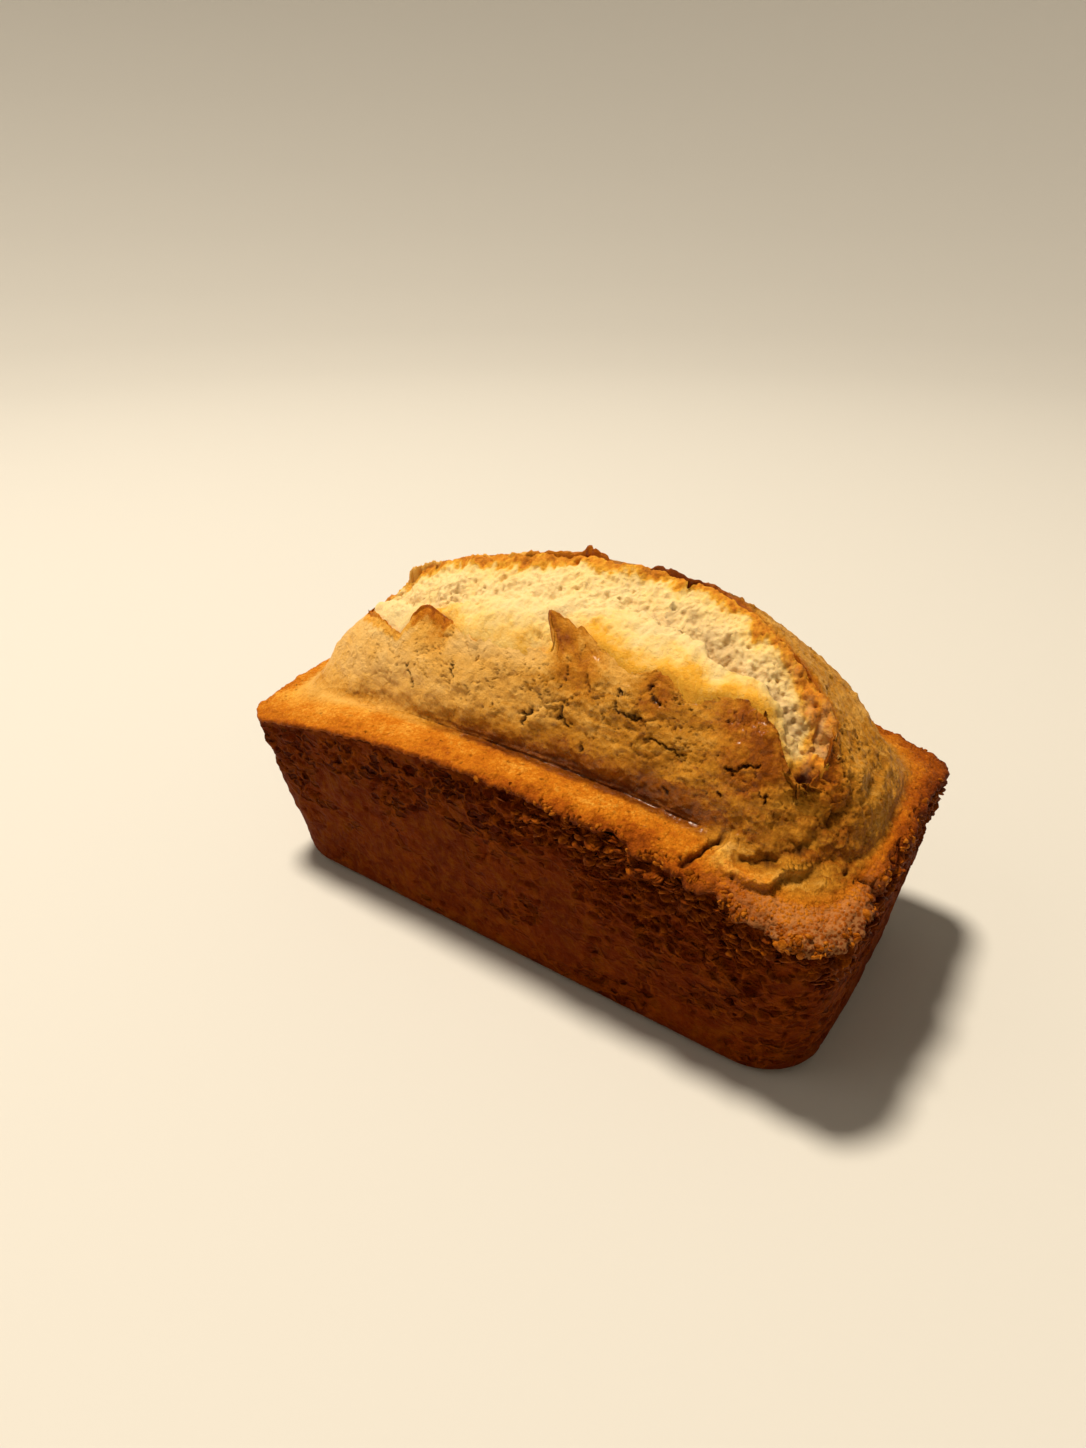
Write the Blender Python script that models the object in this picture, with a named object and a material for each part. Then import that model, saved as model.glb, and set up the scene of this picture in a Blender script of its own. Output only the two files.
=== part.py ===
"""A pound cake baked in a loaf tin: one closed solid at its real size, in metres.

The cake stands on its flat base, with its length along X, its front towards -Y and the origin
at the middle of the base. Its skin is a loft of closed rings. They run up from the base round
the bottom edge, up the wall that the tin shaped, over the craggy rim, across the ledge, up the
domed crust and over the lip of the split. A grid then spans the crumb inside the split.
"""

import math

import bpy
import numpy as np
from mathutils import Vector, noise

CAKE_NAME = "pound_cake"

# Wall that the tin shaped. The corners are back right, back left, front left and front right.
# The right end is drawn in towards its back corner by the skew.
RIM_LENGTH = 0.214
RIM_WIDTH = 0.1107
WALL_LEAN = 0.0072
BASE_CORNER_RADIUS = 0.019
BASE_EDGE_RADIUS = 0.0045
RIM_CORNER_RADII = (0.014, 0.011, 0.011, 0.014)
RIM_CORNER_HEIGHT = 0.0556
RIM_SIDE_BOW = 0.0132
RIM_END_BOW = 0.0080
RIM_DROOP = 0.0035
RIM_DROOP_PLACE = (0.100, -0.040)
RIM_DROOP_SPREAD = 0.030
END_SKEW = 0.0045
END_SKEW_START = -0.030

# Rim and ledge, where the batter spread over the tin's edge.
RIM_OVERHANG = 0.0009
RIM_ROLL = 0.0022
LEDGE_CROWN = 0.0012
CREASE_DEPTH = 0.0022
CREASE_TUCK = 0.0010
CREASE_SHARPNESS = 6
RIM_ROLLS = ((-0.6, -1.0), (0.0, -0.45), (-1.9, 0.0))
INNER_RIM = 3.0
NOTCH_X = 0.067
NOTCH_DEPTH = 0.0030
NOTCH_HALF_WIDTH = 0.0035

# Domed crust. Pairs are the right end and the left end, and the back falls off more gently.
DOME_ENDS = (0.099, 0.097)
DOME_STRAIGHTS = (0.062, 0.060)
BACK_STRAIGHTS = (0.044, 0.054)
DOME_HALF_WIDTH = 0.0378
DOME_SQUARENESS = 3.0
DOME_FULLNESS = 2.1
BACK_FULLNESS = 1.75
BACK_STARTS = (-0.030, 0.015)
FOOT_END_HEIGHT = 0.0635
FOOT_BOW = 0.0055
FOOT_SAG = 0.0045
FOOT_SAG_PLACE = (0.090, -0.036)
FOOT_SAG_SPREAD = 0.016
CREST_HEIGHT = 0.1180
CREST_X = 0.005
CREST_FALLS = (2.4, 3.2)
FOOT_SWELL = 0.0010
FOOT_SWELL_HEIGHT = 0.005

# Lip of the split, in six runs from the right tip anticlockwise.
LIP_RUNS = (
    ((0.0845, -0.015), (0.084, -0.010), (0.073, -0.006), (0.060, -0.002)),
    ((0.060, -0.002), (0.040, 0.004), (0.020, 0.002), (0.011, -0.002), (0.0, -0.001),
     (-0.020, -0.005), (-0.046, -0.003), (-0.060, -0.003)),
    ((-0.060, -0.003), (-0.072, -0.009), (-0.080, -0.015)),
    ((-0.080, -0.015), (-0.070, -0.025), (-0.060, -0.027)),
    ((-0.060, -0.027), (-0.048, -0.025), (-0.026, -0.031), (-0.004, -0.029), (0.003, -0.023),
     (0.012, -0.024), (0.026, -0.028), (0.049, -0.028), (0.060, -0.026)),
    ((0.060, -0.026), (0.066, -0.025), (0.077, -0.031), (0.084, -0.031), (0.086, -0.022),
     (0.0845, -0.015)),
)
LIP_RISE = 0.0015
LIP_CRAG = 0.0010
LIP_THICKNESS = 0.0026
NEAR_LIP_DROP = 0.0016
FAR_LIP_DROP = 0.0036
FAR_LIP_STARTS = (-0.6, 0.6)
FLAP_PLACE = (0.008, -0.0235)
FLAP_RISE = 0.0032
FLAP_SPREAD = 0.009
SHARD_PLACE = (-0.047, -0.026)
SHARD_RISE = 0.0030
SHARD_SPREAD = 0.006
LIP_GAPS = ((0.012, -0.002), (-0.079, -0.014))
LIP_GAP_DEPTH = 0.0055
LIP_GAP_SPREAD = 0.0055

# Crumb in the split, with a valley along it and a pocket at the right.
VALLEY_DEPTH = 0.0040
VALLEY_SHARE = 0.36
VALLEY_SPREAD = 0.24
POCKET_PLACE = (0.080, -0.024)
POCKET_DEPTH = 0.0050
POCKET_SPREAD = 0.0065
CRUMB_CROWN = 0.0020
CRUMB_FULL_SPANS = (0.006, 0.020)
CRUMB_LUMP = 0.0011
CRUMB_LUMP_SIZE = 0.009

# Folds of crust at the front right corner, as paths seen from above.
CORNER_FOLDS = (
    ((0.070, -0.044), (0.080, -0.046), (0.087, -0.042), (0.089, -0.030)),
    ((0.090, -0.018), (0.093, -0.008), (0.093, 0.008), (0.090, 0.024)),
)
FOLD_HEIGHT = 0.0026
FOLD_HALF_WIDTH = 0.0032

# Relief of the skin, which turns from smooth at the left to torn at the right.
TORN_STARTS = (-0.040, 0.075)
TORN_LEAST = 0.4
WALL_CRAG = 0.0012
WALL_SMOOTH_HEIGHTS = (0.05, 0.5)
WALL_SINK_SHARE = 0.3
WALL_CRAG_SIZE = 0.010
RIM_CRAG = 0.0010
RIM_CRAG_SIZE = 0.007
CRUST_WAVE = 0.0011
CRUST_WAVE_SIZE = 0.024
CRUST_CRACKLE = 0.0005
CRUST_CRACKLE_SIZE = 0.008

# Seeds of the rough layers.
WALL_SEED = 1.0
REACH_SEED = 2.0
LIFT_SEED = 3.0
LIP_SEED = 4.0
WAVE_SEED = 5.0
CRACKLE_SEED = 6.0
CRUMB_SEED = 7.0

# Fineness of the loft.
SIDE_KEY = 0.060
QUARTER_STATIONS = 23
SIDE_STATIONS = 28
EDGE_ROWS = 3
WALL_ROWS = 11
LEDGE_ROWS = 4
DOME_ROWS = 11
CRUMB_STEPS = 7
ARC_STEPS = 40
CLIMB_SAMPLES = 80
CLIMB_CROWDING = 1.5

CRUST_COLOUR = (0.56, 0.25, 0.06, 1.0)
CRUST_ROUGHNESS = 0.55


def blend(start, end, share):
    """Mix two values or arrays by a share from 0 to 1."""
    return start + (end - start) * share


def smooth_step(value, start, end):
    """Rise smoothly from 0 at start to 1 at end."""
    share = np.clip((value - start) / (end - start), 0.0, 1.0)
    return share * share * (3.0 - 2.0 * share)


def mound(x, y, place, spread):
    """Give a soft round bump of height 1 at a place seen from above."""
    return np.exp(-((x - place[0]) ** 2 + (y - place[1]) ** 2) / spread ** 2)


def side_values(x, pair):
    """Choose the right end's value of a pair where x is positive, and the left end's elsewhere."""
    return np.where(x > 0.0, pair[0], pair[1])


def resample(path, count):
    """Place count + 1 points evenly along a path."""
    path = np.asarray(path, dtype=float)
    steps = np.linalg.norm(np.diff(path, axis=0), axis=1)
    travelled = np.concatenate(([0.0], np.cumsum(steps)))
    wanted = np.linspace(0.0, travelled[-1], count + 1)
    return np.column_stack([np.interp(wanted, travelled, path[:, axis]) for axis in range(path.shape[1])])


def wall_quarter(half_length, half_width, radius):
    """Trace a quarter of a rounded rectangle, from its end's middle to the key on its long side."""
    turn = np.linspace(0.0, math.pi / 2.0, ARC_STEPS)
    corner_x = half_length - radius + radius * np.cos(turn)
    corner_y = half_width - radius + radius * np.sin(turn)
    return np.vstack(([half_length, 0.0], np.column_stack((corner_x, corner_y)), [SIDE_KEY, half_width]))


def dome_quarter(end, straight):
    """Trace a quarter of the dome's foot, from its end's middle to the end of its straight side."""
    turn = np.linspace(0.0, math.pi / 2.0, ARC_STEPS)
    foot_x = straight + (end - straight) * np.cos(turn) ** (2.0 / DOME_SQUARENESS)
    foot_y = DOME_HALF_WIDTH * np.sin(turn) ** (2.0 / DOME_SQUARENESS)
    return np.column_stack((foot_x, foot_y))


def outline_from_quarters(quarters):
    """Mirror the back right, back left, front left and front right quarters to one closed outline."""
    signs = ((1, 1), (-1, 1), (-1, -1), (1, -1))
    back_right, back_left, front_left, front_right = [
        resample(quarter, QUARTER_STATIONS) * sign for quarter, sign in zip(quarters, signs)
    ]
    back = resample((back_right[-1], back_left[-1]), SIDE_STATIONS)
    front = resample((front_left[-1], front_right[-1]), SIDE_STATIONS)
    runs = (back_right, back, back_left[::-1], front_left, front, front_right[::-1])
    return np.vstack([run[:-1] for run in runs])


def wall_outline(lean, inset, radii):
    """Trace the wall seen from above, leaning in from the rim by lean and drawn in by inset."""
    half_length = RIM_LENGTH / 2.0 - lean - inset
    half_width = RIM_WIDTH / 2.0 - lean - inset
    return outline_from_quarters([wall_quarter(half_length, half_width, radius - inset) for radius in radii])


def foot_outline():
    """Trace the foot of the dome seen from above."""
    front_right, front_left = [dome_quarter(end, straight) for end, straight in zip(DOME_ENDS, DOME_STRAIGHTS)]
    back_right, back_left = [dome_quarter(end, straight) for end, straight in zip(DOME_ENDS, BACK_STRAIGHTS)]
    return outline_from_quarters((back_right, back_left, front_left, front_right))


def lip_outline():
    """Trace the lip of the split seen from above."""
    counts = (QUARTER_STATIONS, SIDE_STATIONS, QUARTER_STATIONS) * 2
    return np.vstack([resample(run, count)[:-1] for run, count in zip(LIP_RUNS, counts)])


def outward(outline):
    """Point away from a closed outline at each of its stations."""
    along = np.roll(outline, -1, axis=0) - np.roll(outline, 1, axis=0)
    normal = np.column_stack((along[:, 1], -along[:, 0]))
    return normal / np.linalg.norm(normal, axis=1, keepdims=True)


def rim_height(outline):
    """Height of the rim, which rises from the corners to the middle of each side."""
    x, y = outline[:, 0], outline[:, 1]
    side = RIM_SIDE_BOW * (1.0 - np.clip(np.abs(x) / (RIM_LENGTH / 2.0), 0.0, 1.0) ** 2)
    end = RIM_END_BOW * (1.0 - np.clip(np.abs(y) / (RIM_WIDTH / 2.0), 0.0, 1.0) ** 2)
    return RIM_CORNER_HEIGHT + side + end - RIM_DROOP * mound(x, y, RIM_DROOP_PLACE, RIM_DROOP_SPREAD)


def foot_height(x, y):
    """Height of the dome's foot, lowest at the ends and at the front right corner."""
    level = FOOT_END_HEIGHT + FOOT_BOW * (1.0 - (x / side_values(x, DOME_ENDS)) ** 2)
    return level - FOOT_SAG * mound(x, y, FOOT_SAG_PLACE, FOOT_SAG_SPREAD)


def dome_height(x, y):
    """Height of the domed crust over a point of the plan."""
    back = smooth_step(y, *BACK_STARTS)
    straight = blend(side_values(x, DOME_STRAIGHTS), side_values(x, BACK_STRAIGHTS), back)
    fullness = blend(DOME_FULLNESS, BACK_FULLNESS, back)
    along = np.clip((np.abs(x) - straight) / (side_values(x, DOME_ENDS) - straight), 0.0, None)
    across = np.abs(y) / DOME_HALF_WIDTH
    spread = (along ** DOME_SQUARENESS + across ** DOME_SQUARENESS) ** (1.0 / DOME_SQUARENESS)
    rise = np.clip(1.0 - spread ** fullness, 0.0, None) ** (1.0 / fullness)
    crest = CREST_HEIGHT - side_values(x - CREST_X, CREST_FALLS) * (x - CREST_X) ** 2
    foot = foot_height(x, y)
    return foot + (crest - foot) * rise


def ring(outline, height):
    """Lift an outline to a height, which may differ from station to station."""
    return np.column_stack((outline, np.broadcast_to(height, len(outline))))


def crag(points, size, seed):
    """Give a rough value from about -1 to 1 at each point, with lumps of a size."""
    offset = Vector((seed, 2.0 * seed, 3.0 * seed))
    return np.array([noise.fractal(Vector(point) / size + offset, 1.0, 2.0, 3) for point in points])


def path_distance(points, path):
    """Distance, seen from above, from each point to a path."""
    found = np.full(len(points), np.inf)
    for start, end in zip(np.asarray(path[:-1]), np.asarray(path[1:])):
        along = end - start
        share = np.clip((points[:, :2] - start) @ along / (along @ along), 0.0, 1.0)
        gap = np.linalg.norm(points[:, :2] - start - share[:, None] * along, axis=1)
        found = np.minimum(found, gap)
    return found


def torn_share(x):
    """Share of full roughness at a place along the cake."""
    return blend(TORN_LEAST, 1.0, smooth_step(x, *TORN_STARTS))


def bottom_rings():
    """Rings of the rounded edge between the flat base and the wall."""
    rings = []
    for step in range(EDGE_ROWS):
        turn = math.pi / 2.0 * step / EDGE_ROWS
        inset = BASE_EDGE_RADIUS * (1.0 - math.sin(turn))
        outline = wall_outline(WALL_LEAN, inset, (BASE_CORNER_RADIUS,) * 4)
        rings.append(ring(outline, BASE_EDGE_RADIUS * (1.0 - math.cos(turn))))
    return rings


def wall_rings(rim, rim_z):
    """Rings of the leaning wall, with its torn relief, rougher towards the right."""
    base = wall_outline(WALL_LEAN, 0.0, (BASE_CORNER_RADIUS,) * 4)
    neck = rim - outward(rim) * RIM_OVERHANG
    top = rim_z - 2.0 * RIM_ROLL
    rings = []
    for share in np.linspace(0.0, 1.0, WALL_ROWS):
        points = ring(blend(base, neck, share), blend(BASE_EDGE_RADIUS, top, share))
        torn = WALL_CRAG * torn_share(points[:, 0]) * smooth_step(share, *WALL_SMOOTH_HEIGHTS)
        relief = torn * (crag(points, WALL_CRAG_SIZE, WALL_SEED) - WALL_SINK_SHARE)
        points[:, :2] += outward(rim) * relief[:, None]
        rings.append(points)
    return rings


def rim_rings(rim, rim_z):
    """Rings that roll over the craggy rim."""
    away = outward(rim)
    ragged = RIM_CRAG * torn_share(rim[:, 0])
    spread = ragged * crag(ring(rim, 0.0), RIM_CRAG_SIZE, REACH_SEED)
    lift = ragged * crag(ring(rim, 0.0), RIM_CRAG_SIZE, LIFT_SEED)
    rings = []
    for reach, fall in RIM_ROLLS:
        plan = rim + away * (reach * RIM_OVERHANG + spread)[:, None]
        rings.append(ring(plan, rim_z + fall * RIM_ROLL + lift))
    return rings


def ledge_rings(rim, rim_z, foot, foot_z):
    """Rings across the softly crowned ledge, down into the crease at the dome's foot."""
    inner_rim = rim - outward(rim) * INNER_RIM * RIM_OVERHANG
    crease = foot - outward(foot) * CREASE_TUCK
    rings = []
    for step in range(1, LEDGE_ROWS + 1):
        share = step / LEDGE_ROWS
        crown = LEDGE_CROWN * math.sin(math.pi * share) - CREASE_DEPTH * share ** CREASE_SHARPNESS
        points = ring(blend(inner_rim, crease, share), blend(rim_z, foot_z, share) + crown)
        notch = np.exp(-((points[:, 0] - NOTCH_X) / NOTCH_HALF_WIDTH) ** 2) * (points[:, 1] < 0.0)
        points[:, 2] -= NOTCH_DEPTH * notch
        rings.append(points)
    return rings


def dome_rings(foot, foot_z, lip):
    """Rings up the domed crust, evenly spaced along the climb from the foot to the lip."""
    shares = np.linspace(0.0, 1.0, CLIMB_SAMPLES)
    climb = []
    for share in shares:
        plan = blend(foot, lip, share ** CLIMB_CROWDING)
        climb.append(ring(plan, dome_height(plan[:, 0], plan[:, 1])))
    climb = np.array(climb)
    evened = np.array([resample(climb[:, station], DOME_ROWS) for station in range(len(foot))])
    away = outward(foot)
    rings = []
    for row in range(DOME_ROWS + 1):
        points = evened[:, row].copy()
        height = points[:, 2] - foot_z
        swell = FOOT_SWELL * np.exp(-((height - FOOT_SWELL_HEIGHT) / FOOT_SWELL_HEIGHT) ** 2)
        points[:, :2] += away * swell[:, None]
        rings.append(points)
    return rings


def lip_rings(lip_ring):
    """Raise the crust's broken lip, then drop inside it to the crumb."""
    x, y = lip_ring[:, 0], lip_ring[:, 1]
    away = outward(lip_ring[:, :2])
    flap = FLAP_RISE * mound(x, y, FLAP_PLACE, FLAP_SPREAD) + SHARD_RISE * mound(x, y, SHARD_PLACE, SHARD_SPREAD)
    ragged = LIP_CRAG * crag(lip_ring, RIM_CRAG_SIZE, LIP_SEED)
    for place in LIP_GAPS:
        ragged -= LIP_GAP_DEPTH * mound(x, y, place, LIP_GAP_SPREAD)
    raised = lip_ring.copy()
    raised[:, 2] += LIP_RISE + flap + ragged
    far = smooth_step(away[:, 1], *FAR_LIP_STARTS)
    inner = lip_ring.copy()
    inner[:, :2] -= away * LIP_THICKNESS
    inner[:, 2] -= blend(NEAR_LIP_DROP, FAR_LIP_DROP, far)
    return raised, inner


def shape_crust(points):
    """Add the crust's waves, its fine crackle and the folds at the corner."""
    relief = CRUST_WAVE * crag(points, CRUST_WAVE_SIZE, WAVE_SEED)
    relief += CRUST_CRACKLE * crag(points, CRUST_CRACKLE_SIZE, CRACKLE_SEED)
    for path in CORNER_FOLDS:
        relief += FOLD_HEIGHT * np.exp(-(path_distance(points, path) / FOLD_HALF_WIDTH) ** 2)
    return relief


def skin_normals(rows):
    """Point out of the loft at each of its points."""
    along = np.roll(rows, -1, axis=1) - np.roll(rows, 1, axis=1)
    up = np.gradient(rows, axis=0)
    normal = np.cross(along, up)
    return normal / np.maximum(np.linalg.norm(normal, axis=2, keepdims=True), 1e-12)


def build_skin():
    """Stack every ring of the cake, from the base to the inside of the lip."""
    rim = wall_outline(0.0, 0.0, RIM_CORNER_RADII)
    rim_z = rim_height(rim)
    foot = foot_outline()
    foot_z = foot_height(foot[:, 0], foot[:, 1])
    lip = lip_outline()
    lower = bottom_rings() + wall_rings(rim, rim_z) + rim_rings(rim, rim_z)
    ledge = ledge_rings(rim, rim_z, foot, foot_z)
    dome = dome_rings(foot, foot_z, lip)[1:]
    rows = np.array(lower + ledge + dome)
    normals = skin_normals(rows)
    for row in range(len(lower), len(rows)):
        rows[row] += normals[row] * shape_crust(rows[row])[:, None]
    raised, inner = lip_rings(rows[-1])
    return np.concatenate((rows[:-1], [raised, inner]))


def crumb_grid(inner):
    """Span the crumb between the back and front halves of the inner lip ring."""
    stations = len(inner)
    grid = []
    for column in range(1, stations // 2):
        front, back = inner[stations - column], inner[column]
        shares = np.linspace(0.0, 1.0, CRUMB_STEPS + 1)[1:-1, None]
        points = blend(front, back, shares)
        valley = np.exp(-((shares[:, 0] - VALLEY_SHARE) / VALLEY_SPREAD) ** 2)
        width = smooth_step(np.linalg.norm(back - front), *CRUMB_FULL_SPANS)
        crown = CRUMB_CROWN * np.sin(math.pi * shares[:, 0]) * (1.0 - valley)
        pocket = POCKET_DEPTH * mound(points[:, 0], points[:, 1], POCKET_PLACE, POCKET_SPREAD)
        lumps = CRUMB_LUMP * crag(points, CRUMB_LUMP_SIZE, CRUMB_SEED)
        points[:, 2] += (crown - VALLEY_DEPTH * valley - pocket + lumps) * width
        grid.append(points)
    return np.array(grid)


def skin_faces(row_count, stations):
    """List the quads between each ring and the next, with the flat base closed by one face."""
    faces = [tuple(reversed(range(stations)))]
    for row in range(row_count - 1):
        for station in range(stations):
            following = (station + 1) % stations
            faces.append((
                row * stations + station, row * stations + following,
                (row + 1) * stations + following, (row + 1) * stations + station,
            ))
    return faces


def crumb_faces(last_ring, stations, first_inside):
    """List the faces of the crumb grid, with a fan at each tip of the split."""
    inside = CRUMB_STEPS - 1

    def column_points(column):
        middle = [first_inside + (column - 1) * inside + step for step in range(inside)]
        return [last_ring + stations - column, *middle, last_ring + column]

    faces = []
    right_tip, left_tip = last_ring, last_ring + stations // 2
    first, last = column_points(1), column_points(stations // 2 - 1)
    for step in range(CRUMB_STEPS):
        faces.append((right_tip, first[step + 1], first[step]))
        faces.append((left_tip, last[step], last[step + 1]))
    for column in range(1, stations // 2 - 1):
        here, there = column_points(column), column_points(column + 1)
        for step in range(CRUMB_STEPS):
            faces.append((here[step], here[step + 1], there[step + 1], there[step]))
    return faces


def crust_material():
    """Make the baked crust's finish."""
    material = bpy.data.materials.new("baked_crust")
    material.use_nodes = True
    shader = material.node_tree.nodes["Principled BSDF"]
    shader.inputs["Base Color"].default_value = CRUST_COLOUR
    shader.inputs["Roughness"].default_value = CRUST_ROUGHNESS
    shader.inputs["Metallic"].default_value = 0.0
    return material


def build_cake():
    """Make the cake's mesh, centred over the origin, and put it in its collection."""
    rows = build_skin()
    row_count, stations = rows.shape[:2]
    inside = crumb_grid(rows[-1])
    points = np.vstack((rows.reshape(-1, 3), inside.reshape(-1, 3)))
    points[:, 0] -= END_SKEW * smooth_step(points[:, 0], 0.0, RIM_LENGTH / 2.0) * smooth_step(
        points[:, 1], END_SKEW_START, RIM_WIDTH / 2.0)
    points[:, :2] -= (points[:, :2].min(axis=0) + points[:, :2].max(axis=0)) / 2.0
    faces = skin_faces(row_count, stations)
    faces += crumb_faces((row_count - 1) * stations, stations, row_count * stations)
    mesh = bpy.data.meshes.new(CAKE_NAME)
    mesh.from_pydata(points.tolist(), [], faces)
    mesh.materials.append(crust_material())
    cake = bpy.data.objects.new(CAKE_NAME, mesh)
    collection = bpy.data.collections.new("sour_cream_pound_cake")
    bpy.context.scene.collection.children.link(collection)
    collection.objects.link(cake)
    return cake


for old_object in list(bpy.data.objects):
    bpy.data.objects.remove(old_object)

build_cake()
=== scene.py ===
import math

import bpy
import numpy as np
from mathutils import Euler, Matrix, Vector, noise


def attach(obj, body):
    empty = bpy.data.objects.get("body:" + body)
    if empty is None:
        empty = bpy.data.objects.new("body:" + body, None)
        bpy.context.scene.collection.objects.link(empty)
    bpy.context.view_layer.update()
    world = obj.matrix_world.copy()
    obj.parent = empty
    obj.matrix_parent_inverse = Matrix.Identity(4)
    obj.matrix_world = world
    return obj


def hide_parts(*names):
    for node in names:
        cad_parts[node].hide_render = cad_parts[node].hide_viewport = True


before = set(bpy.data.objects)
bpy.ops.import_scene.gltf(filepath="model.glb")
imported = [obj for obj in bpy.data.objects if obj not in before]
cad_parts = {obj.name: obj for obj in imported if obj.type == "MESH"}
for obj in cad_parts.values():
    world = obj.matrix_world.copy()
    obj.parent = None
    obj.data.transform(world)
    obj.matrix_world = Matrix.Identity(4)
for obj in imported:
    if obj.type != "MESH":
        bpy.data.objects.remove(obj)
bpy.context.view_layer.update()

# The view: the cake is seen from its front right and from above, with a long-sided picture held upright.
# The eye is about 0.36 m from the cake, and the lens is a wide one.
EYE_PLACE = (0.1593, -0.2405, 0.2153)
EYE_PITCH = math.radians(62.0094)
EYE_YAW = math.radians(36.5079)
EYE_ROLL = math.radians(-0.2306)
EYE_LENS = 24.862

eye = bpy.data.cameras.new("eye")
eye.sensor_width = 36.0
eye.lens = EYE_LENS
eye.clip_start = 0.01
eye.clip_end = 50.0
eye_holder = bpy.data.objects.new("eye", eye)
eye_turn = Euler((EYE_PITCH, 0.0, EYE_YAW)).to_matrix() @ Matrix.Rotation(EYE_ROLL, 3, "Z")
eye_holder.location = EYE_PLACE
eye_holder.rotation_euler = eye_turn.to_euler()
bpy.context.scene.collection.objects.link(eye_holder)
bpy.context.scene.camera = eye_holder


# The wall and the flat base: the crust that baked against the tin, dark and matt.
# It keeps the tin's lean and round corners, smooth at the lower left and torn into pockets at the right.
RIM_LENGTH = 0.214
RIM_WIDTH = 0.1107
WALL_LEAN = 0.0072
BASE_CORNER_RADIUS = 0.019
BASE_EDGE_RADIUS = 0.0045
RIM_CORNER_RADII = (0.014, 0.011, 0.011, 0.014)
RIM_CORNER_HEIGHT = 0.0556
RIM_SIDE_BOW = 0.0132
RIM_END_BOW = 0.0080
RIM_DROOP = 0.0035
RIM_DROOP_PLACE = (0.100, -0.040)
RIM_DROOP_SPREAD = 0.030
END_SKEW = 0.0045
END_SKEW_START = -0.030
SIDE_KEY = 0.060
FRONT_QUARTER = 178
FRONT_SIDE = 226
BACK_QUARTER = 112
BACK_SIDE = 142
EDGE_ROWS = 7
WALL_ROWS = 88
WALL_TOP_DROP = 0.0016
WALL_NECK = 0.0005
CORE_INSET = 0.008
CORE_HEIGHT = 0.044
TORN_STARTS = (-0.045, 0.055)
TORN_LEAST = 0.35


def blend(start, end, share):
    """Mix two values or arrays by a share from 0 to 1."""
    return start + (end - start) * share


def smooth_step(value, start, end):
    """Rise smoothly from 0 at start to 1 at end."""
    share = np.clip((value - start) / (end - start), 0.0, 1.0)
    return share * share * (3.0 - 2.0 * share)


def fade(value, start, end):
    """Fall smoothly from 1 at start to 0 at end."""
    return 1.0 - smooth_step(value, start, end)


def mound(x, y, place, spread):
    """Give a soft round bump of height 1 at a place seen from above."""
    return np.exp(-((x - place[0]) ** 2 + (y - place[1]) ** 2) / spread ** 2)


def noise_places(points, size, seed):
    """List points, scaled so that a size becomes one step of noise and shifted by a seed."""
    return (points / np.asarray(size) + seed * np.array((1.0, 2.0, 3.0))).reshape(-1, 3).tolist()


def crag(points, size, seed, octaves=3):
    """Give a rough value from about -1 to 1 at each point, with lumps of a size."""
    values = [noise.fractal(place, 1.0, 2.0, octaves) for place in noise_places(points, size, seed)]
    return np.array(values).reshape(points.shape[:-1])


def web(points, size, seed):
    """Give thin rough ridges with hollows between them, from 0 to about 1.5."""
    places = noise_places(points, size, seed)
    values = [noise.ridged_multi_fractal(place, 1.0, 2.1, 3, 1.0, 1.8) for place in places]
    return np.array(values).reshape(points.shape[:-1])


def cells(points, size, seed):
    """Share space out in rough cells: the way from each one's middle, the gap to its edge, its chance."""
    ways, gaps, chances = [], [], []
    for place in noise_places(points, size, seed):
        spans, middles = noise.voronoi(place)
        ways.append([here - middle for here, middle in zip(place, middles[0])])
        gaps.append(spans[1] - spans[0])
        chances.append(0.5 + 0.5 * noise.cell(middles[0] * 9.7))
    gaps, chances = [np.array(values).reshape(points.shape[:-1]) for values in (gaps, chances)]
    return np.array(ways).reshape(points.shape), gaps, chances


def round_spot(way, core, edge):
    """Give a round spot in the middle of each cell, full to its core and gone at its edge."""
    return fade(np.linalg.norm(way, axis=-1), core, edge)


def stray(points, size, reach, seed):
    """Shift points a little in three rough ways, so that what follows them looks torn."""
    ways = [crag(points, size, seed + 7.3 * axis, 2) for axis in range(3)]
    return points + reach * np.stack(ways, axis=-1)


def resample(path, count):
    """Place count + 1 points evenly along a path."""
    path = np.asarray(path, dtype=float)
    steps = np.linalg.norm(np.diff(path, axis=0), axis=1)
    travelled = np.concatenate(([0.0], np.cumsum(steps)))
    wanted = np.linspace(0.0, travelled[-1], count + 1)
    return np.column_stack([np.interp(wanted, travelled, path[:, axis]) for axis in range(path.shape[1])])


def wall_quarter(half_length, half_width, radius):
    """Trace a quarter of a rounded rectangle, from its end's middle to the key on its long side."""
    turn = np.linspace(0.0, math.pi / 2.0, 40)
    corner_x = half_length - radius + radius * np.cos(turn)
    corner_y = half_width - radius + radius * np.sin(turn)
    return np.vstack(([half_length, 0.0], np.column_stack((corner_x, corner_y)), [SIDE_KEY, half_width]))


def outline_from_quarters(quarters):
    """Mirror the back right, back left, front left and front right quarters to one closed outline."""
    signs = ((1, 1), (-1, 1), (-1, -1), (1, -1))
    counts = (BACK_QUARTER, BACK_QUARTER, FRONT_QUARTER, FRONT_QUARTER)
    back_right, back_left, front_left, front_right = [
        resample(quarter, count) * sign for quarter, count, sign in zip(quarters, counts, signs)
    ]
    back = resample((back_right[-1], back_left[-1]), BACK_SIDE)
    front = resample((front_left[-1], front_right[-1]), FRONT_SIDE)
    runs = (back_right, back, back_left[::-1], front_left, front, front_right[::-1])
    return np.vstack([run[:-1] for run in runs])


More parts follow.
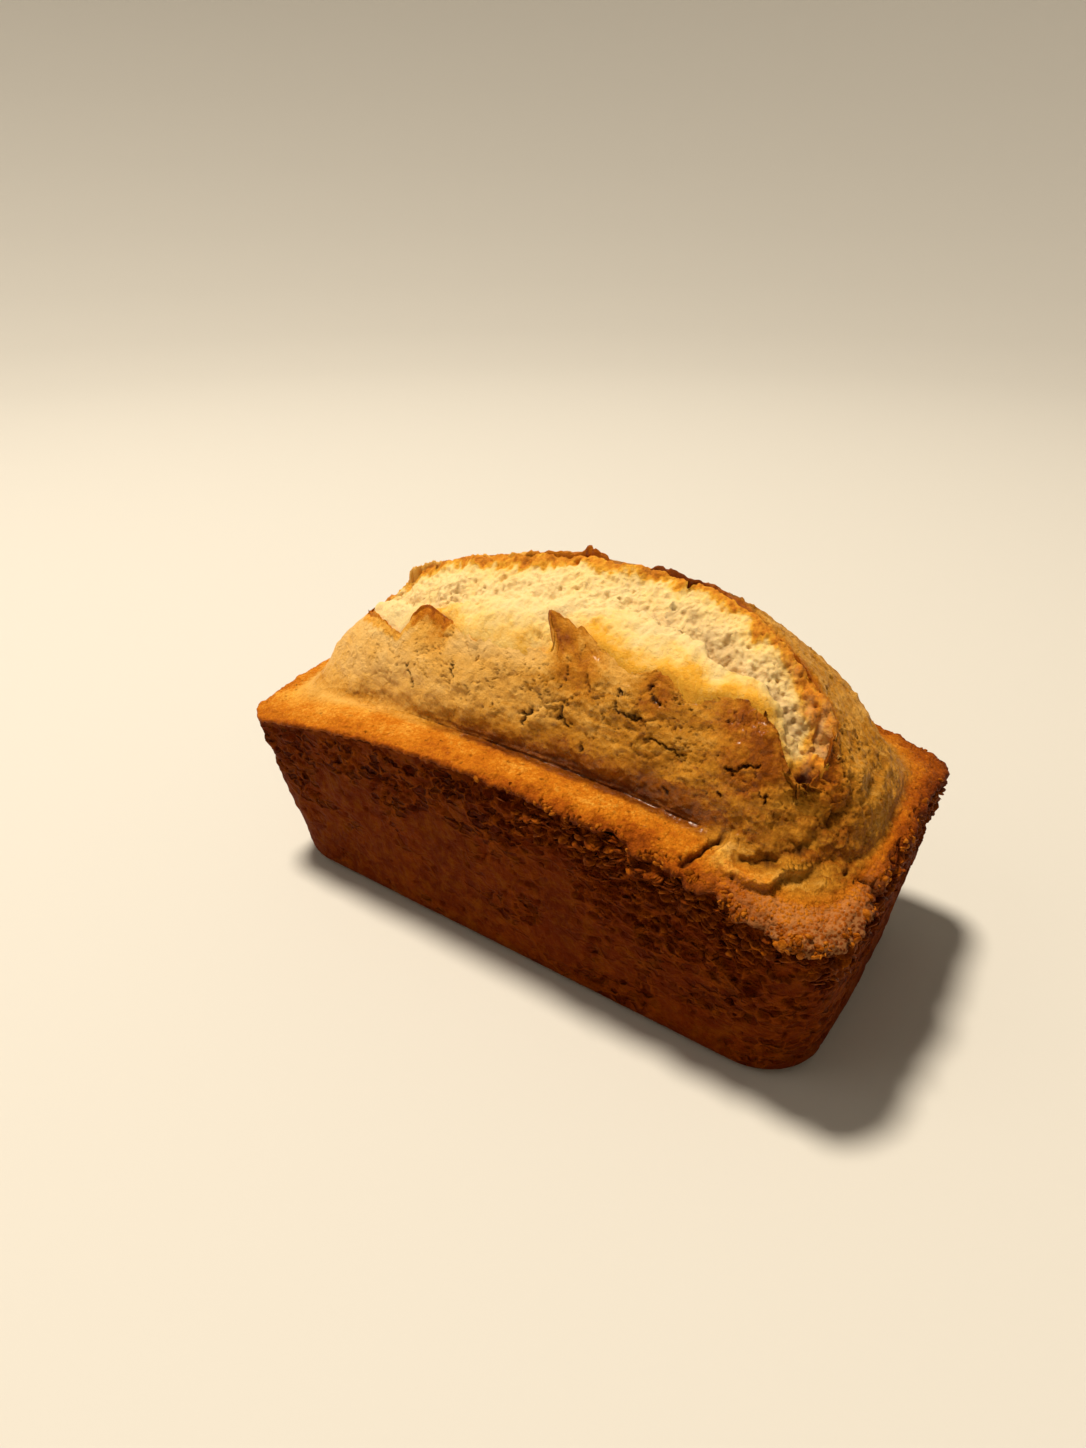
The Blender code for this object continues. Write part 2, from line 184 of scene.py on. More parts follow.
def wall_outline(lean, inset, radii):
    """Trace the wall seen from above, leaning in from the rim by lean and drawn in by inset."""
    half_length = RIM_LENGTH / 2.0 - lean - inset
    half_width = RIM_WIDTH / 2.0 - lean - inset
    return outline_from_quarters([wall_quarter(half_length, half_width, radius - inset) for radius in radii])


def outward(outline):
    """Point away from a closed outline at each of its stations."""
    along = np.roll(outline, -1, axis=0) - np.roll(outline, 1, axis=0)
    normal = np.column_stack((along[:, 1], -along[:, 0]))
    return normal / np.linalg.norm(normal, axis=1, keepdims=True)


def rim_height(outline):
    """Height of the rim, which rises from the corners to the middle of each side."""
    x, y = outline[:, 0], outline[:, 1]
    side = RIM_SIDE_BOW * (1.0 - np.clip(np.abs(x) / (RIM_LENGTH / 2.0), 0.0, 1.0) ** 2)
    end = RIM_END_BOW * (1.0 - np.clip(np.abs(y) / (RIM_WIDTH / 2.0), 0.0, 1.0) ** 2)
    return RIM_CORNER_HEIGHT + side + end - RIM_DROOP * mound(x, y, RIM_DROOP_PLACE, RIM_DROOP_SPREAD)


def ring(outline, height):
    """Lift an outline to a height, which may differ from station to station."""
    return np.column_stack((outline, np.broadcast_to(height, len(outline))))


def skewed(points):
    """Draw the right end in towards its back corner, and centre the cake over the origin."""
    pull = smooth_step(points[..., 0], 0.0, RIM_LENGTH / 2.0)
    pull = pull * smooth_step(points[..., 1], END_SKEW_START, RIM_WIDTH / 2.0)
    moved = np.array(points)
    moved[..., 0] -= END_SKEW * pull + cake_middle[0]
    moved[..., 1] -= cake_middle[1]
    return moved


def torn_share(x):
    """Share of full roughness at a place along the cake."""
    return blend(TORN_LEAST, 1.0, smooth_step(x, *TORN_STARTS))


def loft_faces(row_count, stations, wrap=False):
    """List the quads between each closed ring and the next, and from the last to the first if they wrap."""
    here = np.arange(row_count if wrap else row_count - 1)[:, None] * stations
    there = (here + stations) % (row_count * stations)
    station = np.arange(stations)[None, :]
    following = (station + 1) % stations
    quads = np.stack((here + station, here + following, there + following, there + station), axis=-1)
    return quads.reshape(-1, 4).tolist()


def make_piece(name, points, faces, finish, marks):
    """Make a smooth piece at its place in the cake, with its marks kept as attributes for its finish."""
    mesh = bpy.data.meshes.new(name)
    mesh.from_pydata(skewed(points.reshape(-1, 3)).tolist(), [], faces)
    for mark, values in marks.items():
        layer = mesh.attributes.new(mark, "FLOAT", "POINT")
        layer.data.foreach_set("value", np.asarray(values, dtype=np.float32).ravel())
    mesh.materials.append(finish)
    mesh.shade_smooth()
    mesh.update()
    piece = bpy.data.objects.new(name, mesh)
    bpy.context.scene.collection.objects.link(piece)
    return piece


rim = wall_outline(0.0, 0.0, RIM_CORNER_RADII)
rim_z = rim_height(rim)
rim_away = outward(rim)
station_count = len(rim)
cake_middle = np.zeros(2)
rim_plan = skewed(ring(rim, rim_z))[:, :2]
cake_middle = (rim_plan.min(axis=0) + rim_plan.max(axis=0)) / 2.0


class Strand:
    """One value in a tree of nodes, which sums, differences and products carry on."""

    def __init__(self, finish, socket):
        self.finish = finish
        self.socket = socket

    def work(self, operation, first, second):
        return self.finish.node("ShaderNodeMath", {"operation": operation}, {0: first, 1: second})

    def __add__(self, other):
        return self.work("ADD", self, other)

    __radd__ = __add__

    def __sub__(self, other):
        return self.work("SUBTRACT", self, other)

    def __rsub__(self, other):
        return self.work("SUBTRACT", other, self)

    def __mul__(self, other):
        return self.work("MULTIPLY", self, other)

    __rmul__ = __mul__


class Recipe:
    """A tree of nodes, to which each node is added by one method."""

    def __init__(self, tree):
        self.tree = tree

    def node(self, kind, settings, inputs, output=0):
        """Add a node, with its settings first and then its inputs, and give one of its outputs."""
        node = self.tree.nodes.new(kind)
        for label, value in settings.items():
            if label == "stops":
                ramp = node.color_ramp
                while len(ramp.elements) < len(value):
                    ramp.elements.new(0.5)
                for stop, (position, colour) in zip(ramp.elements, value):
                    stop.position = position
                    stop.color = (*colour, 1.0)
            else:
                setattr(node, label, value)
        for label, value in inputs.items():
            if isinstance(value, Strand):
                self.tree.links.new(value.socket, node.inputs[label])
            else:
                node.inputs[label].default_value = value
        return Strand(self, node.outputs[output])

    def sway(self, place, scale, detail):
        """Give a rough vector, with each part near 0.5, to shift a place by."""
        inputs = {"Vector": place, "Scale": scale, "Detail": detail}
        return self.node("ShaderNodeTexNoise", {}, inputs, "Color")

    def shift(self, vector, factors, way):
        """Multiply a vector by three factors and shift it a way."""
        settings = {"operation": "MULTIPLY_ADD"}
        return self.node("ShaderNodeVectorMath", settings, {0: vector, 1: factors, 2: way})


class Finish(Recipe):
    """A baked finish: a material whose shader takes its colour, gloss and grain from strands."""

    def __init__(self, name, **constants):
        self.material = bpy.data.materials.new(name)
        self.material.use_nodes = True
        super().__init__(self.material.node_tree)
        self.shader = self.tree.nodes["Principled BSDF"]
        for label, value in constants.items():
            self.shader.inputs[label.replace("_", " ")].default_value = value
        self.place = self.node("ShaderNodeTexCoord", {}, {}, "Object")

    def mark(self, name):
        """Read a mark that the mesh keeps at each point."""
        return self.node("ShaderNodeAttribute", {"attribute_name": name}, {}, "Fac")

    def grain(self, size, detail=3.0, roughness=0.6, warp=0.0):
        """Give a rough value near 0.5, with lumps of a size."""
        inputs = {"Vector": self.place, "Scale": 1.0 / size, "Detail": detail}
        inputs.update({"Roughness": roughness, "Distortion": warp})
        return self.node("ShaderNodeTexNoise", {}, inputs, "Fac")

    def spread(self, value, low, high, start=0.0, end=1.0):
        """Map a value from one range to another and hold it there."""
        inputs = {"Value": value, "From Min": low, "From Max": high, "To Min": start, "To Max": end}
        return self.node("ShaderNodeMapRange", {"clamp": True}, inputs, "Result")

    def ramp(self, value, *stops):
        """Turn a value into a colour."""
        return self.node("ShaderNodeValToRGB", {"stops": stops}, {"Fac": value}, "Color")

    def tint(self, share, first, second):
        """Mix two colours by a share."""
        settings = {"data_type": "RGBA", "clamp_factor": True}
        colours = [value if isinstance(value, Strand) else (*value, 1.0) for value in (first, second)]
        return self.node("ShaderNodeMix", settings, {0: share, 6: colours[0], 7: colours[1]}, 2)

    def relief(self, height, depth, under=None):
        """Raise a grain of a depth in metres on the surface, over another grain."""
        inputs = {"Height": height, "Strength": 1.0, "Distance": depth}
        if under:
            inputs["Normal"] = under
        return self.node("ShaderNodeBump", {}, inputs, "Normal")

    def dress(self, **strands):
        """Lead strands to the shader's sockets."""
        for label, strand in strands.items():
            self.tree.links.new(strand.socket, self.shader.inputs[label.replace("_", " ")])
        return self.material


WALL_POCKET = (0.0058, 0.0058, 0.0028)
WALL_PIT = (0.0036, 0.0036, 0.0022)
WALL_PINHOLE = 0.0050
WALL_POCKET_DEPTH = 0.0011
WALL_PIT_DEPTH = 0.0009
WALL_PINHOLE_DEPTH = 0.0006
WALL_FIBRE = (0.0070, 0.0070, 0.0022)
WALL_CAVITIES = (
    (0.0300, 0.0600, 0.0040, 0.0018, 0.0034), (0.0480, 0.0585, 0.0026, 0.0015, 0.0022),
    (0.0140, 0.0645, 0.0034, 0.0012, 0.0020), (0.0800, 0.0530, 0.0036, 0.0020, 0.0028),
    (0.0930, 0.0505, 0.0026, 0.0018, 0.0024), (-0.0300, 0.0595, 0.0030, 0.0012, 0.0014),
)


def wall_relief(points, share):
    """Depth of the wall's holes, pockets and torn fibres, how open it is, and its painted light and shade."""
    x, z = points[..., 0], points[..., 2]
    torn = torn_share(x + 0.014 * crag(points, 0.030, 5.0, 2))
    upper = smooth_step(share + 0.34 * crag(points, 0.018, 6.0, 2), 0.34, 0.86)
    opened = np.clip(0.80 * upper + 0.74 * torn - 0.36 + 0.55 * crag(points, 0.015, 7.0, 2), 0.0, 1.0)
    strayed = stray(points, 0.0060, 0.0022, 11.0)
    _, edge, odds = cells(strayed, WALL_POCKET, 13.0)
    pocket = smooth_step(edge, 0.05, 0.30) * smooth_step(odds, 1.12 - 0.9 * opened, 1.30 - 0.9 * opened)
    way, _, chance = cells(strayed, WALL_PIT, 12.0)
    pit = round_spot(way, 0.16, 0.50) * smooth_step(chance, 0.90 - 0.60 * opened, 0.98 - 0.60 * opened)
    reach, _, luck = cells(points, WALL_PINHOLE, 14.0)
    pinhole = round_spot(reach, 0.05, 0.15) * (luck > 0.55)
    fibre = web(stray(points, 0.009, 0.0025, 15.0), WALL_FIBRE, 16.0) - 0.8
    crest = np.exp(-(edge / 0.075) ** 2) * opened
    left_end = smooth_step(-x, 0.080, 0.100)
    relief = 0.0008 * crag(points, 0.022, 17.0) + blend(0.0005, 0.0011, left_end) * crag(points, 0.0080, 19.0)
    relief -= WALL_POCKET_DEPTH * pocket * blend(0.55, 1.0, torn)
    relief -= WALL_PIT_DEPTH * pit * (1.0 - 0.6 * pocket)
    relief += 0.0003 * crest + 0.0004 * fibre * blend(0.08, 1.0, opened)
    relief -= WALL_PINHOLE_DEPTH * pinhole
    relief += 0.00022 * crag(points, 0.0020, 18.0) * blend(0.5, 1.0, opened)
    shaken_x = x + 0.002 * crag(points, 0.003, 20.0)
    shaken_z = z + 0.002 * crag(points, 0.003, 20.5)
    for place_x, place_z, half_x, half_z, depth in WALL_CAVITIES:
        cavity = ((shaken_x - place_x) / half_x) ** 2 + ((shaken_z - place_z) / half_z) ** 2
        relief -= depth * np.exp(-cavity ** 1.5) * (points[..., 1] < 0.0)
    # Painted light and shade: the ridge mark is lighter on the crests and darker in pockets, pits and
    # pinholes.
    ridge = 0.58 + 0.12 * crest - 0.08 * pocket - 0.10 * pit - 0.20 * pinhole + 0.10 * fibre * opened
    return relief, opened, np.clip(ridge, 0.0, 1.0)


def tilted_scales(finish, size, seed):
    """Thin overlapping scales on a skin, each tilted so that its lower edge stands up."""
    swayed = finish.shift(finish.sway(finish.place, 420.0, 3.0), (0.0028, 0.0028, 0.0028), finish.place)
    sized = finish.shift(swayed, (0.6 / size, 1.0 / size, 1.0 / size), (seed, seed, seed))
    middle = finish.node("ShaderNodeTexVoronoi", {}, {"Vector": sized, "Scale": 1.0}, "Position")
    off = finish.node("ShaderNodeVectorMath", {"operation": "SUBTRACT"}, {0: sized, 1: middle})
    lean = {0: off, 1: (0.25, -0.5, -0.8)}
    return finish.node("ShaderNodeVectorMath", {"operation": "DOT_PRODUCT"}, lean, 1)


WALL_NET = (0.0056, 0.0056, 0.0027)
WALL_NET_DEPTH = 0.0017
WALL_SCALE = 0.0030


def wall_net(finish, size, seed):
    """A net of thin curved rims round small lens-shaped hollows, as the strands of rim and hollow."""
    swayed = finish.shift(finish.sway(finish.place, 260.0, 1.0), (0.0040, 0.0040, 0.0034), finish.place)
    sized = finish.shift(swayed, [1.0 / side for side in size], (seed, seed, seed))
    cell = {"Vector": sized, "Scale": 1.0}
    edge = finish.node("ShaderNodeTexVoronoi", {"feature": "DISTANCE_TO_EDGE"}, cell, "Distance")
    tone = finish.node("ShaderNodeTexVoronoi", {}, cell, "Color")
    odds = finish.node("ShaderNodeSeparateColor", {}, {0: tone}, 0)
    deep = finish.spread(odds, 0.30, 0.62, 0.05, 1.0)
    rim_strand = finish.spread(edge, 0.0, 0.11, 1.0, 0.0) * (0.35 + 0.65 * deep)
    return rim_strand, finish.spread(edge, 0.07, 0.24) * deep


def wall_finish():
    """Dark matt red-brown; small holes painted nearly black as shade, thin rims painted tan as highlight."""
    finish = Finish("tin_baked_crust", Specular_IOR_Level=0.05, Specular_Tint=(1.0, 0.42, 0.08, 1.0))
    ridge = finish.mark("ridge")
    opened = finish.mark("opened")
    broad = finish.grain(0.016, 3.0)
    fine = finish.grain(0.0011, 4.0, 0.7)
    specks = finish.grain(0.00045, 2.0, 0.6)
    net_rim, net_hollow = wall_net(finish, WALL_NET, 3.0)
    netted = finish.spread(opened + 0.5 * (broad - 0.5), 0.08, 0.46) * (1.0 - 0.50 * finish.mark("torn"))
    rim = net_rim * netted
    hollow = net_hollow * netted
    ripple = finish.grain(0.0040, 4.0, 0.68, warp=0.6)
    scales = tilted_scales(finish, WALL_SCALE, 21.0) * finish.spread(opened, 0.25, 0.85) * finish.mark("torn")
    # Painted light and shade: lighter on the ridge mark's crests, the net's rims and the ripples' crests,
    # darker in the net's hollows.
    value = ridge + 0.24 * (broad - 0.5) + (0.46 - 0.34 * netted) * (ripple - 0.5)
    value = value + (0.26 - 0.12 * netted) * (fine - 0.5) + 0.14 * scales - 0.36 * hollow + 0.17 * rim
    skin = finish.ramp(
        value,
        (0.02, (0.022, 0.0016, 0.0)),
        (0.34, (0.060, 0.0054, 0.0)),
        (0.56, (0.106, 0.0130, 0.0)),
        (0.78, (0.230, 0.0440, 0.0006)),
        (1.00, (0.420, 0.1200, 0.0060)),
    )
    warmth = finish.spread(finish.grain(0.024, 2.0), 0.40, 0.66)
    skin = finish.tint(0.30 * warmth, skin, (0.165, 0.0200, 0.0))
    mottle = finish.spread(finish.grain(0.0046, 5.0, 0.70), 0.47, 0.64) * (1.0 - 0.6 * opened)
    skin = finish.tint(0.62 * mottle, skin, (0.200, 0.0480, 0.0))
    rippled = finish.relief(ripple, 0.0011)
    flaked = finish.relief(scales, 0.0016, rippled)
    under = finish.relief(0.3 * rim - hollow, WALL_NET_DEPTH, flaked)
    middle = finish.relief(fine * (1.0 - 0.5 * netted), 0.00042, under)
    over = finish.relief(specks, 0.00016, middle)
    gloss = 0.56 + 0.26 * finish.grain(0.0016, 2.0)
    return finish.dress(Base_Color=skin, Roughness=gloss, Normal=over)


def make_wall():
    """Stack the rings of the base's edge and the wall, and close them inside the cake."""
    rings = []
    for step in range(EDGE_ROWS):
        turn = math.pi / 2.0 * step / EDGE_ROWS
        inset = BASE_EDGE_RADIUS * (1.0 - math.sin(turn))
        outline = wall_outline(WALL_LEAN, inset, (BASE_CORNER_RADIUS,) * 4)
        rings.append(ring(outline, BASE_EDGE_RADIUS * (1.0 - math.cos(turn))))
    base = wall_outline(WALL_LEAN, 0.0, (BASE_CORNER_RADIUS,) * 4)
    neck = rim - rim_away * WALL_NECK
    for share in np.linspace(0.0, 1.0, WALL_ROWS):
        height = blend(BASE_EDGE_RADIUS, rim_z - WALL_TOP_DROP, share)
        rings.append(ring(blend(base, neck, share), height))
    rows = np.array(rings)
    share = np.clip((rows[..., 2] - BASE_EDGE_RADIUS) / (rim_z[None, :] - BASE_EDGE_RADIUS), 0.0, 1.0)
    relief, opened, height = wall_relief(rows, share)
    keep = smooth_step(rows[..., 2], 0.0003, 0.006)
    under_rim = smooth_step(rim_z[None, :] - rows[..., 2], 0.0016, 0.0060)
    recess = 0.0002 + 0.0014 * smooth_step(rows[..., 0], -0.040, 0.020)
    relief = relief * keep * blend(0.35, 1.0, under_rim) - recess * (1.0 - under_rim)
    rows[..., :2] += rim_away[None] * relief[..., None]
    core = ring(rim - rim_away * CORE_INSET, CORE_HEIGHT)
    rows = np.concatenate((rows, core[None]))
    blank = np.zeros((1, station_count))
    height = np.concatenate((height, blank))
    opened = np.concatenate((opened * under_rim, blank))
    faces = [list(reversed(range(station_count)))]
    faces += loft_faces(len(rows), station_count)
    faces.append(list(range((len(rows) - 1) * station_count, len(rows) * station_count)))
    below = np.concatenate((rim_z[None] - rows[:-1, :, 2], blank + 1.0))
    rough = torn_share(rows[..., 0])
    flaky = opened * fade(below, 0.004, 0.018) * smooth_step(rough, 0.6, 1.0)
    # The ridge mark carries painted shade in the wall's hollows and painted highlight on its crests.
    marks = {"ridge": height, "opened": opened, "flaky": flaky, "torn": smooth_step(rough, 0.45, 0.95)}
    return make_piece("tin_baked_wall", rows, faces, wall_finish(), marks)


wall = make_wall()
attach(wall, "root")
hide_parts("pound_cake")


# The ledge: batter that spread over the tin's edge and baked to a granular orange crust, craggy at its rim.
# It runs down to a glossy crease at the foot of the dome, and is cut across once at the front right.
RIM_ROLL = 0.0010
LEDGE_CROWN = 0.0015
CREASE_DEPTH = 0.0014
CREASE_TUCK = 0.0010
CREASE_SHARPNESS = 6
DUSTY_CORNER = (0.0960, -0.0440)
DUSTY_SPREAD = 0.020
NOTCH_PATH = ((0.0688, -0.0392), (0.0668, -0.0425), (0.0655, -0.0478), (0.0640, -0.0530))
NOTCH_DEPTH = 0.0028
NOTCH_HALF_WIDTH = 0.0006
DOME_ENDS = (0.099, 0.097)
DOME_STRAIGHTS = (0.062, 0.060)
BACK_STRAIGHTS = (0.044, 0.054)
DOME_HALF_WIDTH = 0.0378
DOME_SQUARENESS = 3.0
FOOT_END_HEIGHT = 0.0635
FOOT_BOW = 0.0055
FOOT_SAG = 0.0045
FOOT_SAG_PLACE = (0.090, -0.036)
FOOT_SAG_SPREAD = 0.016
ROLL_ROWS = 9
LEDGE_ROWS = 40
LEDGE_GRAIN = 0.0019
LEDGE_GRAIN_RISE = 0.00085
LEDGE_PORE_DEPTH = 0.0012
RIM_BITES = (
    (0.0567, -0.0545, 0.0022, 0.0018), (0.0880, -0.0545, 0.0020, 0.0013), (0.0780, -0.0550, 0.0014, 0.0011),
    (0.1060, -0.0260, 0.0024, 0.0015), (0.1060, 0.0080, 0.0016, 0.0014), (0.1000, 0.0500, 0.0034, 0.0024),
    (0.0300, -0.0550, 0.0014, 0.0016), (-0.0120, -0.0550, 0.0010, 0.0014), (0.0480, 0.0550, 0.0018, 0.0016),
    (-0.0300, 0.0550, 0.0014, 0.0018), (-0.1070, 0.0150, 0.0016, 0.0016), (-0.0760, 0.0550, 0.0014, 0.0014),
)


def side_values(x, pair):
    """Choose the right end's value of a pair where x is positive, and the left end's elsewhere."""
    return np.where(x > 0.0, pair[0], pair[1])


def dome_quarter(end, straight):
    """Trace a quarter of the dome's foot, from its end's middle to the end of its straight side."""
    turn = np.linspace(0.0, math.pi / 2.0, 40)
    foot_x = straight + (end - straight) * np.cos(turn) ** (2.0 / DOME_SQUARENESS)
    foot_y = DOME_HALF_WIDTH * np.sin(turn) ** (2.0 / DOME_SQUARENESS)
    return np.column_stack((foot_x, foot_y))


def foot_height(x, y):
    """Height of the dome's foot, lowest at the ends and at the front right corner."""
    level = FOOT_END_HEIGHT + FOOT_BOW * (1.0 - (x / side_values(x, DOME_ENDS)) ** 2)
    return level - FOOT_SAG * mound(x, y, FOOT_SAG_PLACE, FOOT_SAG_SPREAD)


def path_distance(points, path):
    """Distance from each point to a path, in the path's own directions."""
    found = np.full(points.shape[:-1], np.inf)
    for start, end in zip(np.asarray(path[:-1]), np.asarray(path[1:])):
        along = end - start
        share = np.clip((points - start) @ along / (along @ along), 0.0, 1.0)
        gap = np.linalg.norm(points - start - share[..., None] * along, axis=-1)
        found = np.minimum(found, gap)
    return found


def skin_normals(rows):
    """Point out of a loft at each of its points."""
    along = np.roll(rows, -1, axis=1) - np.roll(rows, 1, axis=1)
    up = np.gradient(rows, axis=0)
    normal = np.cross(along, up)
    return normal / np.maximum(np.linalg.norm(normal, axis=2, keepdims=True), 1e-12)


front_right, front_left = [dome_quarter(end, straight) for end, straight in zip(DOME_ENDS, DOME_STRAIGHTS)]
back_right, back_left = [dome_quarter(end, straight) for end, straight in zip(DOME_ENDS, BACK_STRAIGHTS)]
foot = outline_from_quarters((back_right, back_left, front_left, front_right))
foot_z = foot_height(foot[:, 0], foot[:, 1])
foot_away = outward(foot)


def ledge_rows():
    """Rows over the rolled rim and across the softly crowned ledge, down into the crease."""
    rows = []
    for step in range(ROLL_ROWS):
        turn = blend(-0.42, 0.5, step / (ROLL_ROWS - 1)) * math.pi
        reach = RIM_ROLL * (math.cos(turn) - 1.0)
        rise = RIM_ROLL * (math.sin(turn) - 1.0)
        rows.append(ring(rim + rim_away * reach, rim_z + rise))
    inner_rim = rim - rim_away * RIM_ROLL
    crease_share = smooth_step(foot[:, 0], -0.070, -0.030) * fade(foot[:, 0], 0.056, 0.072)
    crease = foot - foot_away * CREASE_TUCK * crease_share[:, None]
    for step in range(1, LEDGE_ROWS + 1):
        share = step / LEDGE_ROWS
        crown = LEDGE_CROWN * math.sin(math.pi * share)
        sunk = CREASE_DEPTH * crease_share * share ** CREASE_SHARPNESS
        rows.append(ring(blend(inner_rim, crease, share), blend(rim_z, foot_z, share) + (crown - sunk)))
    return np.array(rows)


def crease_wrinkles(points, nearness):
    """Fine wrinkles along the crease, where the dome's skin slid over the ledge."""
    stretch = np.stack((points[..., 0] * 0.28, points[..., 1] * 1.6, points[..., 2] * 1.6), axis=-1)
    return crag(stretch, 0.0020, 31.0, 2) * nearness


rim_shares = np.concatenate((np.linspace(-0.2, 0.0, ROLL_ROWS), np.arange(1, LEDGE_ROWS + 1) / LEDGE_ROWS))


def ledge_relief(rows, shares):
    """The ledge's grains, lumps, pores and notch, how toasted and glossy it is, and its painted shade."""
    x, y = rows[..., 0], rows[..., 1]
    torn = torn_share(x)
    near_rim = fade(shares, -0.05, 0.42)
    relief = 0.0008 * crag(rows, 0.013, 21.0) * torn
    relief += 0.0013 * crag(rows, 0.0042, 22.0) * blend(0.25, 1.0, near_rim) * torn
    way, _, chance = cells(stray(rows, 0.003, 0.0008, 23.0), LEDGE_GRAIN, 24.0)
    grains = (0.55 - np.linalg.norm(way, axis=-1)) * blend(0.4, 1.0, chance)
    settled = fade(shares, 0.70, 0.86)
    relief += LEDGE_GRAIN_RISE * grains * blend(0.15, 1.0, settled) * blend(0.6, 1.0, torn)
    relief += 0.00040 * crag(rows, 0.0016, 25.0) * blend(0.2, 1.0, settled)
    crease = smooth_step(shares + 0.06 * crag(rows, 0.006, 28.0), 0.62, 0.82)
    sleek = crease * smooth_step(x, -0.065, -0.005) * fade(x, 0.058, 0.068) * (y < 0.0)
    relief += 0.00034 * crease_wrinkles(rows, np.maximum(sleek, 0.12 * crease))
    notch_gap = path_distance(stray(rows, 0.0040, 0.0010, 26.0)[..., :2], NOTCH_PATH)
    notch = np.exp(-(notch_gap / (NOTCH_HALF_WIDTH * (1.0 + 0.5 * crag(rows, 0.0040, 29.0)))) ** 2)
    notch = notch * blend(0.55, 1.0, smooth_step(y, -0.052, -0.042))
    relief -= NOTCH_DEPTH * notch
    pore = round_spot(way, 0.10, 0.30) * (chance > 0.90) * settled
    relief -= LEDGE_PORE_DEPTH * pore
    toast = 0.36 + 0.06 * smooth_step(x, -0.10, 0.02) + 0.14 * smooth_step(x, 0.070, 0.104)
    # Painted shade: toast follows the relief, darker where the ledge sinks, most in the notch and pores,
    # paler on its grains.
    toast = toast + 0.12 * crag(rows, 0.011, 27.0) - 60.0 * (relief - 0.0002)
    # Painted shade: the crease is darkened; the rim's roll is browner.
    toast = toast + 0.26 * fade(shares, -0.16, 0.05) + 0.30 * crease * sleek
    rimmed = fade(shares + 0.14 * crag(rows, 0.0060, 30.0), 0.02, 0.40)
    toast = toast + (0.12 + 0.12 * smooth_step(x, -0.040, 0.030)) * rimmed
    toast = toast - 0.22 * smooth_step(shares, 0.45, 1.0) * fade(x, -0.060, -0.020)
    # The last value is painted shade in the notch and the pores.
    return relief, toast, 0.55 * sleek, np.maximum(notch, 0.8 * pore)


def rim_crag(rows, shares):
    """Push the rim out and in, with a few bites broken from it."""
    torn = torn_share(rows[..., 0])
    near_rim = fade(shares, 0.0, 0.20)
    plan = np.broadcast_to(ring(rim, 0.0)[None], rows.shape)
    torn = torn * (1.0 - 0.45 * smooth_step(rows[..., 1], -0.020, 0.020))
    push = torn * (0.0011 * crag(plan, 0.0080, 41.0) + 0.0011 * crag(rows, 0.0028, 42.0))
    lift = torn * (0.0009 * crag(plan, 0.0080, 43.0) + 0.0008 * crag(rows, 0.0026, 44.0))
    bite = np.zeros(rows.shape[:-1])
    for bite_x, bite_y, depth, width in RIM_BITES:
        bite = np.maximum(bite, depth * mound(plan[..., 0], plan[..., 1], (bite_x, bite_y), width))
    bite = bite * (1.0 + 0.8 * crag(rows, 0.0020, 45.0))
    moved = np.array(rows)
    moved[..., :2] += rim_away[None] * ((push - bite) * near_rim)[..., None]
    moved[..., 2] += lift * near_rim * 0.8 - bite * near_rim * 0.5
    return moved


def crumbly_share(rows, shares):
    """How thickly loose crumbs stand: along the rim's edge, from the middle of the front round to the end."""
    x, y = rows[..., 0], rows[..., 1]
    edge = smooth_step(shares, -0.19, -0.10) * fade(shares, 0.00, 0.10)
    edge = edge * (1.0 - 0.85 * smooth_step(y, -0.020, 0.015))
    torn = smooth_step(torn_share(x), 0.55, 1.0)
    clumps = smooth_step(crag(rows, 0.0070, 46.0), -0.15, 0.35)
    return edge * torn * clumps


CRUST_SCALE = 0.0017
CRUST_PLATE = 0.0046


